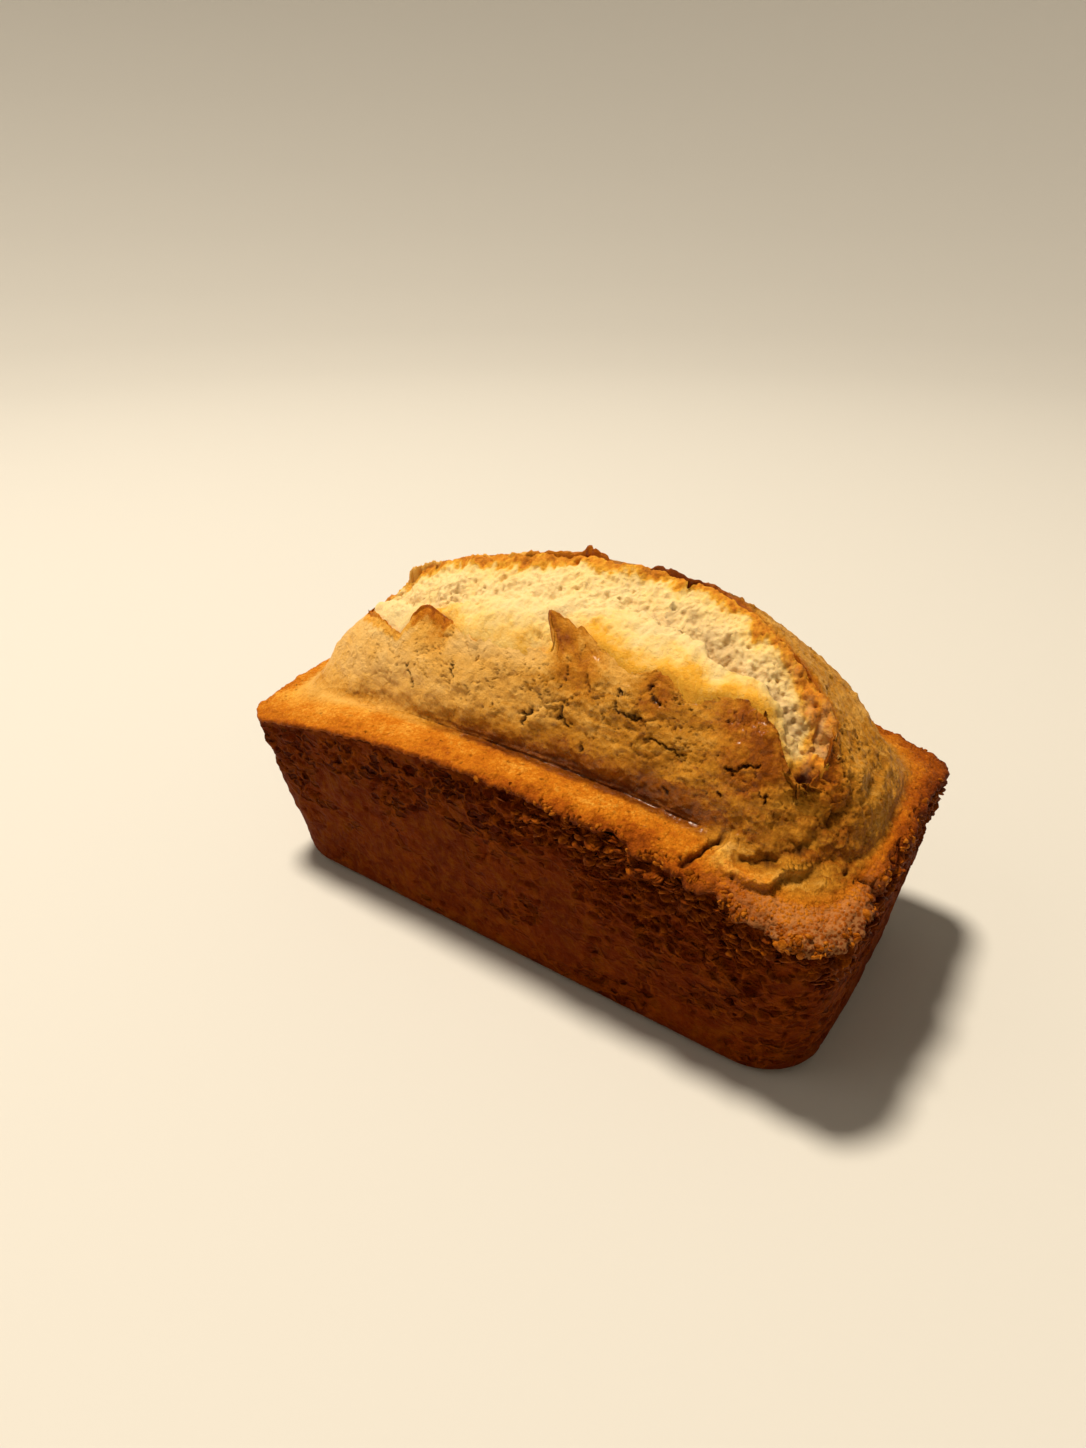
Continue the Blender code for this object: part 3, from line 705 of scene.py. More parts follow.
def golden_finish():
    """Baked crust from pale tan through gold and orange to deep brown, with a satin, oily sheen."""
    finish = Finish(
        "golden_crust", Specular_IOR_Level=0.18, Specular_Tint=(1.0, 0.72, 0.36, 1.0), Coat_Roughness=0.22,
    )
    toast = finish.mark("toast")
    crack = finish.mark("crack")
    gloss = finish.mark("gloss")
    sandy = finish.mark("sandy")
    granular = finish.mark("granular")
    lively = finish.spread(toast, 0.14, 0.34, 0.45, 1.0) * (1.0 + 0.75 * sandy)
    broad = finish.grain(0.010, 3.0)
    fine = finish.grain(0.0013, 4.0, 0.65)
    specks = finish.grain(0.00042, 3.0, 0.7)
    sand = finish.node("ShaderNodeTexVoronoi", {}, {"Vector": finish.place, "Scale": 950.0}, "Distance")
    pebble = finish.spread(sand, 0.05, 0.65, 1.0, 0.0)
    granule = pebble * granular
    scales = tilted_scales(finish, CRUST_SCALE, 4.0) * finish.spread(broad, 0.40, 0.55, 0.25, 1.0)
    bare = finish.spread(sandy, 0.0, 0.6, 1.0, 0.0) * finish.spread(toast, 0.14, 0.34, 0.20, 1.0)
    scales = scales * bare
    plates = tilted_scales(finish, CRUST_PLATE, 9.0) * bare
    # The toast mark holds browning together with some painted light and shade.
    value = toast + lively * (0.14 * (broad - 0.5) + 0.24 * (fine - 0.5) + 0.20 * (specks - 0.5))
    value = value - 0.10 * scales - 0.10 * plates - 0.13 * granule + 0.07 * granular
    dome_skin_colour = finish.ramp(
        value,
        (0.02, (0.860, 0.530, 0.180)),
        (0.22, (0.765, 0.395, 0.078)),
        (0.44, (0.520, 0.208, 0.014)),
        (0.66, (0.270, 0.070, 0.001)),
        (0.95, (0.100, 0.015, 0.000)),
    )
    ledge_skin_colour = finish.ramp(
        value,
        (0.02, (0.900, 0.550, 0.160)),
        (0.22, (0.820, 0.395, 0.050)),
        (0.44, (0.580, 0.175, 0.005)),
        (0.66, (0.350, 0.074, 0.001)),
        (0.95, (0.120, 0.016, 0.000)),
    )
    skin = finish.tint(sandy, dome_skin_colour, ledge_skin_colour)
    dust = finish.spread(granular, 0.82, 0.96) * finish.spread(fine - 0.7 * pebble, 0.10, 0.50)
    skin = finish.tint(0.45 * dust, skin, (0.600, 0.275, 0.090))
    # This mark paints shade nearly black in cracks, seams, hairlines, dents, the notch, pores, grooves and
    # under folds.
    skin = finish.tint(crack, skin, (0.040, 0.010, 0.001))
    under = finish.relief(fine, 0.00056)
    middle = finish.relief(pebble * (0.16 + 0.84 * granular), 0.00034, under)
    plated = finish.relief(plates, 0.0008, middle)
    scaly = finish.relief(scales, 0.00052, plated)
    over = finish.relief(specks, 0.00036, scaly)
    rough = 0.54 + 0.20 * (fine - 0.5) - 0.30 * gloss + 0.20 * sandy
    coat = finish.spread(finish.grain(0.0022, 3.0) + 0.4 * gloss, 0.64, 0.94, 0.0, 0.45)
    return finish.dress(Base_Color=skin, Roughness=rough, Coat_Weight=coat, Normal=over)


golden_crust = golden_finish()
ledge_base = ledge_rows()
ledge_count = len(ledge_base)


# The domed crust: batter that rose above the tin, set to a thin skin and cracked into plates as it swelled.
# It is tan at the left, golden at the right, and turned up and browned where it split along the top.
DOME_FULLNESS = 2.1
BACK_FULLNESS = 1.75
BACK_STARTS = (-0.030, 0.015)
CREST_HEIGHT = 0.1180
CREST_X = 0.005
CREST_FALLS = (2.4, 3.2)
FOOT_SWELL = 0.0010
FOOT_SWELL_HEIGHT = 0.005
DOME_ROWS = 82
CLIMB_SAMPLES = 90
CLIMB_CROWDING = 1.5
CRUST_THICKNESS = 0.0030
CREASE_EASING = 170
END_EASING = 420
CREASE_TIGHTNESS = 0.25
LIP_RUNS = (
    ((0.0868, -0.0170), (0.0850, -0.0105), (0.0800, -0.0070), (0.0730, -0.0050), (0.0600, -0.0020)),
    ((0.0600, -0.0020), (0.0400, 0.0040), (0.0200, 0.0025), (0.0130, -0.0015), (0.0080, -0.0010),
     (0.0000, 0.0), (-0.0200, -0.0040), (-0.0460, -0.0030), (-0.0600, -0.0030)),
    ((-0.0600, -0.0030), (-0.0690, -0.0060), (-0.0745, -0.0095), (-0.0780, -0.0140), (-0.0785, -0.0168)),
    ((-0.0785, -0.0168), (-0.0765, -0.0205), (-0.0720, -0.0245), (-0.0660, -0.0265), (-0.0600, -0.0284)),
    ((-0.0600, -0.0284), (-0.0550, -0.0300), (-0.0528, -0.0310), (-0.0512, -0.0297), (-0.0495, -0.0283),
     (-0.0468, -0.0270), (-0.0437, -0.0264), (-0.0400, -0.0268), (-0.0350, -0.0280), (-0.0300, -0.0292),
     (-0.0235, -0.0304), (-0.0087, -0.0308), (0.0000, -0.0306), (0.0070, -0.0302), (0.0098, -0.0286),
     (0.0110, -0.0256), (0.0150, -0.0252), (0.0200, -0.0262), (0.0250, -0.0273), (0.0328, -0.0293),
     (0.0410, -0.0268), (0.0514, -0.0281), (0.0600, -0.0255)),
    ((0.0600, -0.0255), (0.0680, -0.0248), (0.0735, -0.0262), (0.0765, -0.0284), (0.0795, -0.0300),
     (0.0830, -0.0302), (0.0858, -0.0275), (0.0872, -0.0220), (0.0868, -0.0170)),
)
LIP_LEFT_END = (-0.0785, -0.0165)
LIP_TURN = (
    (0.0, 0.7, 0.0), (0.0002, 1.0, 0.0001), (0.0005, 1.0, 0.0), (0.0008, 0.8, -0.0004),
    (0.0009, 0.1, -0.0016), (0.0004, 0.0, -0.0032),
)
LIP_RISES = (
    (-0.0450, -0.0266, 0.0010, 0.0048), (-0.0700, -0.0255, 0.0016, 0.0050),
    (-0.0528, -0.0308, -0.0016, 0.0030), (0.0400, -0.0270, 0.0004, 0.0050), (0.0660, -0.0250, 0.0005, 0.0060),
    (0.0020, 0.0000, 0.0026, 0.0050), (0.0130, -0.0010, -0.0050, 0.0036), (-0.0772, -0.0122, -0.0034, 0.0042),
    (0.0870, -0.0190, 0.0012, 0.0050), (0.0840, -0.0080, -0.0016, 0.0026), (0.0250, 0.0030, 0.0010, 0.0060),
    (-0.0698, -0.0066, 0.0042, 0.0036), (-0.0640, -0.0040, 0.0020, 0.0050),
)
SHARD_SLOPE = (-0.0400, -0.0270)
LEFT_STEP = (-0.0762, -0.0085)
LEFT_STEP_DEPTH = 0.0066
LEFT_STEP_SPREAD = 0.0056
CRACKS = (
    ((-0.0471, 0.0844), (-0.0443, 0.0823), (-0.0414, 0.0784)),
    ((-0.0270, 0.0886), (-0.0278, 0.0863), (-0.0263, 0.0850)),
    ((0.0137, 0.0976), (0.0141, 0.0943)),
    ((0.0045, 0.0835), (0.0020, 0.0822), (0.0016, 0.0789)),
    ((0.0143, 0.0870), (0.0133, 0.0842), (0.0170, 0.0822)),
    ((0.0222, 0.0786), (0.0228, 0.0771)),
    ((0.0314, 0.0961), (0.0311, 0.0940), (0.0317, 0.0906), (0.0346, 0.0902), (0.0389, 0.0901)),
    ((0.0411, 0.0857), (0.0440, 0.0856), (0.0477, 0.0856), (0.0528, 0.0837)),
    ((0.0390, 0.0979), (0.0403, 0.0961), (0.0432, 0.0950)),
    ((0.0471, 0.0975), (0.0481, 0.0959)),
    ((0.0651, 0.0846), (0.0674, 0.0840), (0.0696, 0.0858), (0.0731, 0.0868)),
    ((0.0485, 0.0747), (0.0509, 0.0733)),
    ((0.0642, 0.0784), (0.0652, 0.0775)),
    ((0.0753, 0.0802), (0.0772, 0.0787)),
)
CRACK_DEPTH = 0.0012
CRACK_HALF_WIDTH = 0.00048
PLATE_SIZES = (0.016875, 0.0125, 0.0125)
CRUST_SCALE_SIZE = 0.0048
LUMP_SIZE = 0.0062
DENT_SIZES = (0.0034, 0.0034, 0.0026)
PLATE_STEP = 0.0006
SEAM_DEPTH = 0.0006
CURL_RISE = 0.00040
CRUST_SCALE_RISE = 0.00045
LUMP_RISE = 0.00060
DENT_DEPTHS = (0.00060, 0.00090)
HAIRLINE_DEPTH = 0.00042
BROWNED = (
    (-0.0435, -0.0262, 0.0055, 0.40), (-0.0350, -0.0290, 0.0045, 0.30), (0.0090, -0.0250, 0.0060, 0.42),
    (0.0180, -0.0275, 0.0080, 0.26), (0.0410, -0.0285, 0.0070, 0.22), (0.0660, -0.0275, 0.0095, 0.22),
    (0.0740, -0.0300, 0.0060, 0.18), (0.0865, -0.0220, 0.0060, 0.28), (-0.0780, -0.0175, 0.0060, 0.12),
)
FOLDS = (
    (((0.0712, -0.0462), (0.0745, -0.0480), (0.0795, -0.0478), (0.0836, -0.0452), (0.0858, -0.0400),
      (0.0882, -0.0358), (0.0906, -0.0330)), 0.0031, 0.0026, 0.0009, 0.0006),
    (((0.0694, -0.0490), (0.0700, -0.0440), (0.0712, -0.0390), (0.0750, -0.0366), (0.0795, -0.0362),
      (0.0835, -0.0360))[::-1], 0.0020, 0.0042, 0.0009, 0.0002),
    (((0.1000, -0.0320), (0.0950, -0.0345), (0.0910, -0.0345), (0.0885, -0.0325))[::-1],
     0.0012, 0.0045, 0.0020, 0.0),
    (((0.0884, -0.0340), (0.0912, -0.0300), (0.0936, -0.0250), (0.0954, -0.0185), (0.0966, -0.0100),
      (0.0962, 0.0020), (0.0938, 0.0140), (0.0900, 0.0240))[::-1], 0.0017, 0.0030, 0.0009, 0.0004),
    (((0.0850, -0.0330), (0.0885, -0.0280), (0.0908, -0.0220), (0.0922, -0.0120), (0.0915, 0.0))[::-1],
     0.0007, 0.0016, 0.0008, 0.0),
)
GROOVES = (
    (((0.0738, -0.0450), (0.0766, -0.0410), (0.0800, -0.0392), (0.0836, -0.0372), (0.0868, -0.0345)),
     0.0018, 0.0010),
    (((0.0846, -0.0350), (0.0872, -0.0336), (0.0892, -0.0312)), 0.0014, 0.0008),
    (((0.0905, -0.0285), (0.0925, -0.0250), (0.0940, -0.0205)), 0.0012, 0.0007),
    (((0.1010, -0.0275), (0.1035, -0.0262), (0.1066, -0.0262)), 0.0016, 0.0007),
    (((0.0975, -0.0300), (0.0982, -0.0270)), 0.0014, 0.0007),
)
JOIN_ROWS = 12
LAP_DEPTHS = ((0.0006,), (0.00004,))
LIP_PULLS = (
    ((0.0108, -0.0255), (-0.0092, 0.0006, 0.0042), 0.0040, 0.0190, 0.0070),
    ((-0.0450, -0.0265), (-0.0006, 0.0004, 0.0016), 0.0060, 0.0160, 0.0060),
)


def path_side(points, path):
    """Gap to a path, the side it lies on, the share along it, and the way to its right."""
    path = np.asarray(path, dtype=float)
    steps = np.linalg.norm(np.diff(path, axis=0), axis=1)
    travelled = np.concatenate(([0.0], np.cumsum(steps))) / steps.sum()
    gap, side = np.full(points.shape[:-1], np.inf), np.zeros(points.shape[:-1])
    share, way = np.zeros(points.shape[:-1]), np.zeros(points.shape)
    for index in range(len(steps)):
        along = (path[index + 1] - path[index]) / steps[index]
        right = np.array((along[1], -along[0]))
        reach = np.clip((points - path[index]) @ along, 0.0, steps[index])
        off = points - path[index] - reach[..., None] * along
        here = np.linalg.norm(off, axis=-1)
        closer = here < gap
        gap = np.where(closer, here, gap)
        side = np.where(closer, np.sign(off @ right), side)
        share = np.where(closer, travelled[index] + reach / steps.sum(), share)
        way[closer] = right
    return gap, side, share, way


def dome_height(x, y):
    """Height of the domed crust over a point of the plan."""
    back = smooth_step(y, *BACK_STARTS)
    straight = blend(side_values(x, DOME_STRAIGHTS), side_values(x, BACK_STRAIGHTS), back)
    fullness = blend(DOME_FULLNESS, BACK_FULLNESS, back)
    along = np.clip((np.abs(x) - straight) / (side_values(x, DOME_ENDS) - straight), 0.0, None)
    across = np.abs(y) / DOME_HALF_WIDTH
    reach = (along ** DOME_SQUARENESS + across ** DOME_SQUARENESS) ** (1.0 / DOME_SQUARENESS)
    rise = np.clip(1.0 - reach ** fullness, 0.0, None) ** (1.0 / fullness)
    crest = CREST_HEIGHT - side_values(x - CREST_X, CREST_FALLS) * (x - CREST_X) ** 2
    level = foot_height(x, y)
    return level + (crest - level) * rise


def lip_plan():
    """Trace the lip of the split seen from above, with a station for each one of the foot."""
    counts = (BACK_QUARTER, BACK_SIDE, BACK_QUARTER, FRONT_QUARTER, FRONT_SIDE, FRONT_QUARTER)
    return np.vstack([resample(run, count)[:-1] for run, count in zip(LIP_RUNS, counts)])


def lip_outline():
    """Soften the lip's corners, and make it ragged."""
    plan = lip_plan()
    for _ in range(12):
        plan = (np.roll(plan, 1, axis=0) + plan * 2.0 + np.roll(plan, -1, axis=0)) / 4.0
    away = outward(plan)
    flat = ring(plan, 0.0)
    behind = smooth_step(plan[:, 1], -0.020, -0.006)
    ragged = blend(0.0006, 0.0012, behind) * crag(flat, 0.0055, 51.0) + 0.0005 * crag(flat, 0.0018, 52.0)
    ragged = ragged * (1.0 - mound(plan[:, 0], plan[:, 1], LIP_LEFT_END, 0.0040))
    ragged = ragged * (1.0 - 0.8 * mound(plan[:, 0], plan[:, 1], SHARD_SLOPE, 0.0060))
    return plan + away * ragged[:, None]


def dome_rows(lip):
    """Rows up the domed crust, evenly spaced along the climb from the foot to the lip."""
    climb = []
    for share in np.linspace(0.0, 1.0, CLIMB_SAMPLES):
        plan = blend(foot, lip, share ** CLIMB_CROWDING)
        climb.append(ring(plan, dome_height(plan[:, 0], plan[:, 1])))
    climb = np.array(climb)
    evened = [resample(climb[:, station], DOME_ROWS) for station in range(station_count)]
    rows = np.array(evened).transpose(1, 0, 2)
    height = rows[..., 2] - foot_z[None]
    swell = FOOT_SWELL * np.exp(-((height - FOOT_SWELL_HEIGHT) / FOOT_SWELL_HEIGHT) ** 2)
    rows[..., :2] += foot_away[None] * swell[..., None]
    return rows


def eased_crease(rows):
    """Ease the crease to a soft hollow, except in the middle of the front, where it stays a tight fold."""
    row = np.arange(len(rows)) - (ledge_count - 1)
    near = smooth_step(row, -36, -14) * fade(row, 22, 52)
    x = foot[:, 0]
    tight = smooth_step(x, -0.055, -0.015) * fade(x, 0.052, 0.070) * (foot[:, 1] < 0.0)
    share = near[:, None] * (1.0 - CREASE_TIGHTNESS * tight)[None]
    end_share = (near[:, None] * smooth_step(np.abs(x), 0.062, 0.085)[None])[..., None]
    eased = np.array(rows)
    for step in range(END_EASING):
        eased[1:-1] = (eased[:-2] + 2.0 * eased[1:-1] + eased[2:]) / 4.0
        if step == CREASE_EASING:
            soft = blend(rows, eased, share[..., None])
    return blend(soft, eased, end_share)


def dome_plates(rows, upper, right):
    """The crust's overlapping plates: relief, highlight painted on raised edges, and how open the seams are.
    """
    strayed = stray(stray(rows, 0.0060, 0.0030, 62.0), 0.0016, 0.0008, 63.0)
    way, gap, chance = cells(strayed, PLATE_SIZES, 64.0)
    tilt = 0.80 * way[..., 2] - 0.25 * way[..., 0] - 10.0 * rows[..., 1] * way[..., 1]
    tilt = tilt * blend(0.25, 1.0, right) * upper * blend(0.5, 1.0, chance)
    broken = smooth_step(crag(rows, 0.010, 65.0, 2), 0.02, 0.30) * upper
    seam = fade(gap, 0.0, 0.055) * broken * blend(0.45, 1.0, right)
    curl = np.exp(-((gap - 0.16) / 0.09) ** 2) * broken * blend(0.2, 1.0, right)
    # Painted highlight: the second value makes the crust paler toward each plate's raised edge and curl.
    return PLATE_STEP * tilt - SEAM_DEPTH * seam + CURL_RISE * curl, 0.08 * tilt + 0.06 * curl, seam


def dome_grain(rows, shares, upper, right):
    """The crust's small scales and lumps, and its dents and hairline cracks."""
    way, gap, chance = cells(stray(rows, 0.0020, 0.0009, 66.0), CRUST_SCALE_SIZE, 67.0)
    scales = (0.8 * way[..., 2] - 0.3 * way[..., 0]) * blend(0.3, 1.0, upper) * blend(0.15, 1.0, right)
    hairline = fade(gap, 0.0, 0.09) * (chance > 0.62)
    _, gap, chance = cells(stray(rows, 0.006, 0.0016, 76.0), LUMP_SIZE, 77.0)
    lumps = smooth_step(gap, -0.1, 0.70) * blend(0.2, 1.0, chance)
    way, _, chance = cells(stray(rows, 0.002, 0.0007, 78.0), DENT_SIZES, 79.0)
    dents = round_spot(way, 0.06, 0.20) * (chance > 0.60)
    dents = dents * smooth_step(shares, 0.10, 0.34) * (1.0 - 0.8 * smooth_step(rows[..., 0], 0.076, 0.088))
    relief = CRUST_SCALE_RISE * scales - HAIRLINE_DEPTH * hairline * upper
    relief += LUMP_RISE * lumps * blend(0.3, 1.0, upper) * (1.0 - 0.75 * right)
    return relief - blend(*DENT_DEPTHS, right) * dents, lumps, dents, hairline


def open_cracks(rows):
    """The short torn cracks in the front of the dome."""
    shaken = np.stack((crag(rows, 0.0020, 71.0), crag(rows, 0.0020, 72.0)), axis=-1)
    faced = rows[..., ::2] + 0.0011 * shaken
    crack = np.zeros(rows.shape[:-1])
    for path in CRACKS:
        crack = np.maximum(crack, np.exp(-(path_distance(faced, path) / CRACK_HALF_WIDTH) ** 2))
    front = (rows[..., 1] < 0.0) & (rows[..., 0] < 0.080)
    return smooth_step(crack + 0.35 * crag(rows, 0.0014, 75.0), 0.45, 0.95) * front


def dome_toasting(rows, shares):
    """How toasted the dome is, light and shade painted in, how orange, and where the glossy band above the
    crease runs.
    """
    x, y = rows[..., 0], rows[..., 1]
    toast = 0.125 + 0.32 * smooth_step(x, -0.060, 0.060) + 0.08 * smooth_step(x, 0.070, 0.095)
    # Painted shade: darker at the foot at the left.
    toast = toast + 0.16 * fade(shares, 0.0, 0.14) * fade(x, -0.070, -0.030)
    middle = smooth_step(x, -0.045, -0.005) * fade(x, 0.060, 0.085)
    # Darker low on the front, partly browning and partly painted shade.
    low = fade(shares, 0.04, 0.42) * fade(y, -0.020, 0.0) * (1.0 - 0.75 * smooth_step(x, 0.056, 0.074))
    toast = toast + (0.20 + 0.16 * middle) * low + 0.07 * crag(rows, 0.016, 73.0)
    toast = toast - 0.16 * smooth_step(shares, 0.70, 1.0) * fade(x, 0.020, 0.060) * (y < 0.0)
    browned = np.zeros(rows.shape[:-1])
    for place_x, place_y, width, share in BROWNED:
        browned += share * mound(x, y, (place_x, place_y), width)
    toast = toast + 0.88 * browned * (0.8 + 0.7 * crag(rows, 0.0035, 74.0))
    edge = smooth_step(shares + 0.04 * crag(rows, 0.0040, 80.0), 0.87, 0.94) * (y < -0.014)
    orange = edge * fade(x, -0.036, -0.024)
    toast = toast + orange * (0.26 + 0.14 * smooth_step(shares, 0.984, 1.0))
    # Painted shade: the band above the crease is darkened.
    band = fade(shares + 0.03 * crag(rows, 0.0060, 83.0), 0.05, 0.13)
    band = band * smooth_step(x, -0.050, 0.0) * fade(x, 0.052, 0.068) * (y < 0.0)
    toast = toast + 0.18 * band
    lip_far = smooth_step(y, -0.020, -0.005)
    turned = fade(x, 0.040, 0.064)
    lit = blend(0.40, 1.0, smooth_step(x, -0.045, 0.010))
    lip_edge = 0.24 * smooth_step(shares, 0.86, 1.0) + 0.16 * turned * smooth_step(shares, 0.55, 0.95)
    toast = toast + lip_far * lit * lip_edge + 0.10 * turned * lit * smooth_step(y, 0.0, 0.02)
    # Painted light: paler at the right behind the lip, where the crust faces away from the light.
    toast = toast - 0.10 * (1.0 - turned) * smooth_step(y, -0.024, -0.010)
    orange = np.maximum(0.9 * orange, 0.8 * lip_far * smooth_step(shares, 0.88, 0.96))
    return toast, np.maximum(orange, 0.42 * smooth_step(browned, 0.06, 0.24)), band


def dome_relief(rows, shares):
    """The dome's waves, plates and cracks, how toasted, glossy and orange it is, and its painted light and
    shade.
    """
    x, y, z = rows[..., 0], rows[..., 1], rows[..., 2]
    right = smooth_step(x, -0.020, 0.035)
    upper = smooth_step(shares, 0.22, 0.50)
    plate_lift, plate_highlight, seam = dome_plates(rows, upper, right)
    grain_lift, lumps, dents, hairline = dome_grain(rows, shares, upper, right)
    crack = open_cracks(rows)
    toast, orange, band = dome_toasting(rows, shares)
    relief = 0.0013 * crag(rows, 0.024, 61.0) + plate_lift + grain_lift - CRACK_DEPTH * crack
    relief += 0.00040 * crag(rows, 0.0046, 68.0) + blend(0.00008, 0.00022, right) * crag(rows, 0.0016, 69.0)
    creases = crag(np.stack((x * 0.5, y * 2.0, z * 0.40), axis=-1), 0.0032, 70.0, 2)
    relief += 0.00085 * smooth_step(x, 0.078, 0.090) * creases * smooth_step(shares, 0.0, 0.10)
    relief -= LEFT_STEP_DEPTH * mound(x, y, LEFT_STEP, LEFT_STEP_SPREAD)
    relief += 0.00034 * crease_wrinkles(rows, band)
    # Painted highlight on the plates' raised edges makes toast paler; painted shade along the hairlines makes
    # it darker.
    toast = toast - plate_highlight + 0.08 * hairline - 0.06 * (lumps - 0.4) * (1.0 - right)
    # Painted shade in the cracks, the plates' seams, the hairlines and the dents.
    dark = 0.95 * crack + (0.38 * seam + 0.16 * hairline) * right + blend(0.28, 0.65, right) * dents
    gloss = 0.35 + 0.4 * smooth_step(toast, 0.45, 0.8) - 0.08 * fade(x, -0.06, -0.01)
    gloss = gloss + 0.15 * fade(shares, 0.0, 0.12) + 0.12 * band
    gloss = gloss - 0.40 * smooth_step(x, 0.070, 0.088) - 0.25 * smooth_step(y, -0.005, 0.015)
    return relief, toast, np.clip(dark, 0.0, 1.0), np.clip(gloss, 0.0, 1.0), orange


def fold_shapes(points):
    """Lift, sideways slide and painted shade of the folds, each steep in front and gentle behind."""
    shaken = np.stack((crag(points, 0.0040, 121.0), crag(points, 0.0040, 122.0)), axis=-1)
    plan = points[..., :2] + 0.0011 * shaken
    lift, slide, dark = np.zeros(plan.shape[:-1]), np.zeros(points.shape), np.zeros(plan.shape[:-1])
    for path, height, behind, front, overhang in FOLDS:
        gap, side, share, way = path_side(plan, path)
        width = np.where(side > 0.0, front, behind)
        swell = np.exp(-(gap / width) ** 2) * np.sin(math.pi * np.clip(share, 0.02, 0.98)) ** 0.5
        lift += height * swell
        slide[..., :2] += overhang * (swell ** 2)[..., None] * way
        # Painted shade just in front of each fold's steep edge, where it overhangs.
        under = np.exp(-((side * gap - front * 1.5) / 0.0006) ** 2) * swell.clip(0.0, 1.0) ** 0.2
        dark = np.maximum(dark, 0.5 * under * (height > 0.0012))
    for path, depth, width in GROOVES:
        gap, _, share, _ = path_side(plan, path)
        sunk = np.exp(-(gap / (width * (1.0 + 0.5 * crag(points, 0.0030, 123.0)))) ** 2)
        sunk = sunk * np.sin(math.pi * np.clip(share, 0.02, 0.98)) ** 0.5
        lift -= depth * sunk
        # Painted shade along the grooves.
        dark = np.maximum(dark, np.clip(depth / 0.0016, 0.0, 0.85) * sunk ** 2)
    return lift, slide, dark


def lip_pull(points, place, push, left, right, reach):
    """Draw the lip out to a point, as a shard of crust that lifted while the crumb welled up."""
    side = points[..., 0] - place[0]
    along = np.clip(1.16 * (1.0 - np.abs(side) / np.where(side < 0.0, left, right)), 0.0, 1.0)
    down = np.linalg.norm(points - dome_skin_top(place)[None, None], axis=-1)
    depth = np.clip(1.0 - np.abs(points[..., 1] - place[1]) / reach, 0.0, 1.0) ** 1.5
    near = down < 3.0 * max(left, right, reach)
    return np.array(push) * (along ** 0.8 * depth * near * (points[..., 1] < -0.015))[..., None]


def dome_skin_top(place):
    """The point of the dome's skin over a place of the plan."""
    return np.array((place[0], place[1], float(dome_height(np.array(place[0]), np.array(place[1])))))


def lip_rows(top):
    """Turn the crust's broken lip up and over, then tuck it back under the crust."""
    x, y = top[:, 0], top[:, 1]
    away = ring(outward(top[:, :2]), 0.0)
    far = smooth_step(away[:, 1], -0.6, 0.6)
    rise = blend(0.0, 0.0013, far) + blend(0.0003, 0.0010, far) * crag(top, 0.0050, 81.0)
    rise = rise + blend(0.0002, 0.0007, far) * crag(top, 0.0018, 82.0)
    for place_x, place_y, height, width in LIP_RISES:
        rise = rise + height * mound(x, y, (place_x, place_y), width)
    blunt = blend(0.8, 0.5, far) * (1.0 - 0.9 * mound(x, y, LIP_LEFT_END, 0.0050))
    rows = []
    for reach, share, fall in LIP_TURN:
        points = top - away * (reach * blunt)[:, None]
        points[:, 2] += rise * share + fall
        rows.append(points)
    return np.array(rows)


lip = lip_outline()
dome_base = dome_rows(lip)
dome_shares = np.broadcast_to(np.linspace(0.0, 1.0, DOME_ROWS + 1)[:, None], dome_base.shape[:2])
top_base = eased_crease(np.concatenate((ledge_base, dome_base[1:])))
ledge_base, dome_base = top_base[:ledge_count], top_base[ledge_count - 1:]
top_normals = skin_normals(top_base)

ledge_shares = np.broadcast_to(rim_shares[:, None], ledge_base.shape[:2])
ledge_lift, ledge_toast, ledge_gloss, ledge_shade = ledge_relief(ledge_base, ledge_shares)
dome_lift, dome_toast, dome_shade, dome_gloss, dome_orange = dome_relief(dome_base, dome_shares)
top_lift = np.concatenate((ledge_lift, dome_lift[1:]))
join_start = ledge_count - JOIN_ROWS
crease_blend = smooth_step(ledge_shares[join_start:], ledge_shares[join_start, 0], 1.0)
top_lift[join_start:ledge_count] = blend(ledge_lift[join_start:], dome_lift[0][None], crease_blend)
top_lift *= 1.0 - mound(top_base[..., 0], top_base[..., 1], LIP_LEFT_END, 0.0050)
fold_lift, fold_slide, fold_shade = fold_shapes(top_base)
top_rows = top_base + top_normals * (top_lift + fold_lift)[..., None] + fold_slide
ledge_toast -= 0.14 * smooth_step(fold_lift[:ledge_count], 0.0004, 0.0016)
# The folds' painted shade joins that of the ledge and the dome.
ledge_shade = np.maximum(ledge_shade, fold_shade[:ledge_count])
dome_shade = np.maximum(dome_shade, fold_shade[ledge_count - 1:])
for place, push, left, right, reach in LIP_PULLS:
    top_rows[ledge_count:] += lip_pull(top_rows[ledge_count:], place, push, left, right, reach)
ledge_skin = rim_crag(top_rows[:ledge_count], ledge_shares)
dome_skin = np.concatenate((ledge_skin[-1:], top_rows[ledge_count:]))


def join_mark(on_ledge, on_dome):
    """Make a mark run on unbroken from the ledge to the dome."""
    seam = (on_ledge[-1] + on_dome[0]) / 2.0
    share = smooth_step(np.arange(JOIN_ROWS), 0.0, JOIN_ROWS - 1.0)[:, None]
    on_ledge[-JOIN_ROWS:] = blend(on_ledge[-JOIN_ROWS:], seam, share)
    on_dome[:JOIN_ROWS] = blend(seam, on_dome[:JOIN_ROWS], share)


join_mark(ledge_toast, dome_toast)
join_mark(ledge_gloss, dome_gloss)
join_mark(ledge_shade, dome_shade)
ledge_lap = ledge_skin[-3:-1] - top_normals[ledge_count - 3:ledge_count - 1] * np.array(LAP_DEPTHS)[..., None]
dome_lap = dome_skin[1:3] - top_normals[ledge_count:ledge_count + 2] * np.array(LAP_DEPTHS[::-1])[..., None]


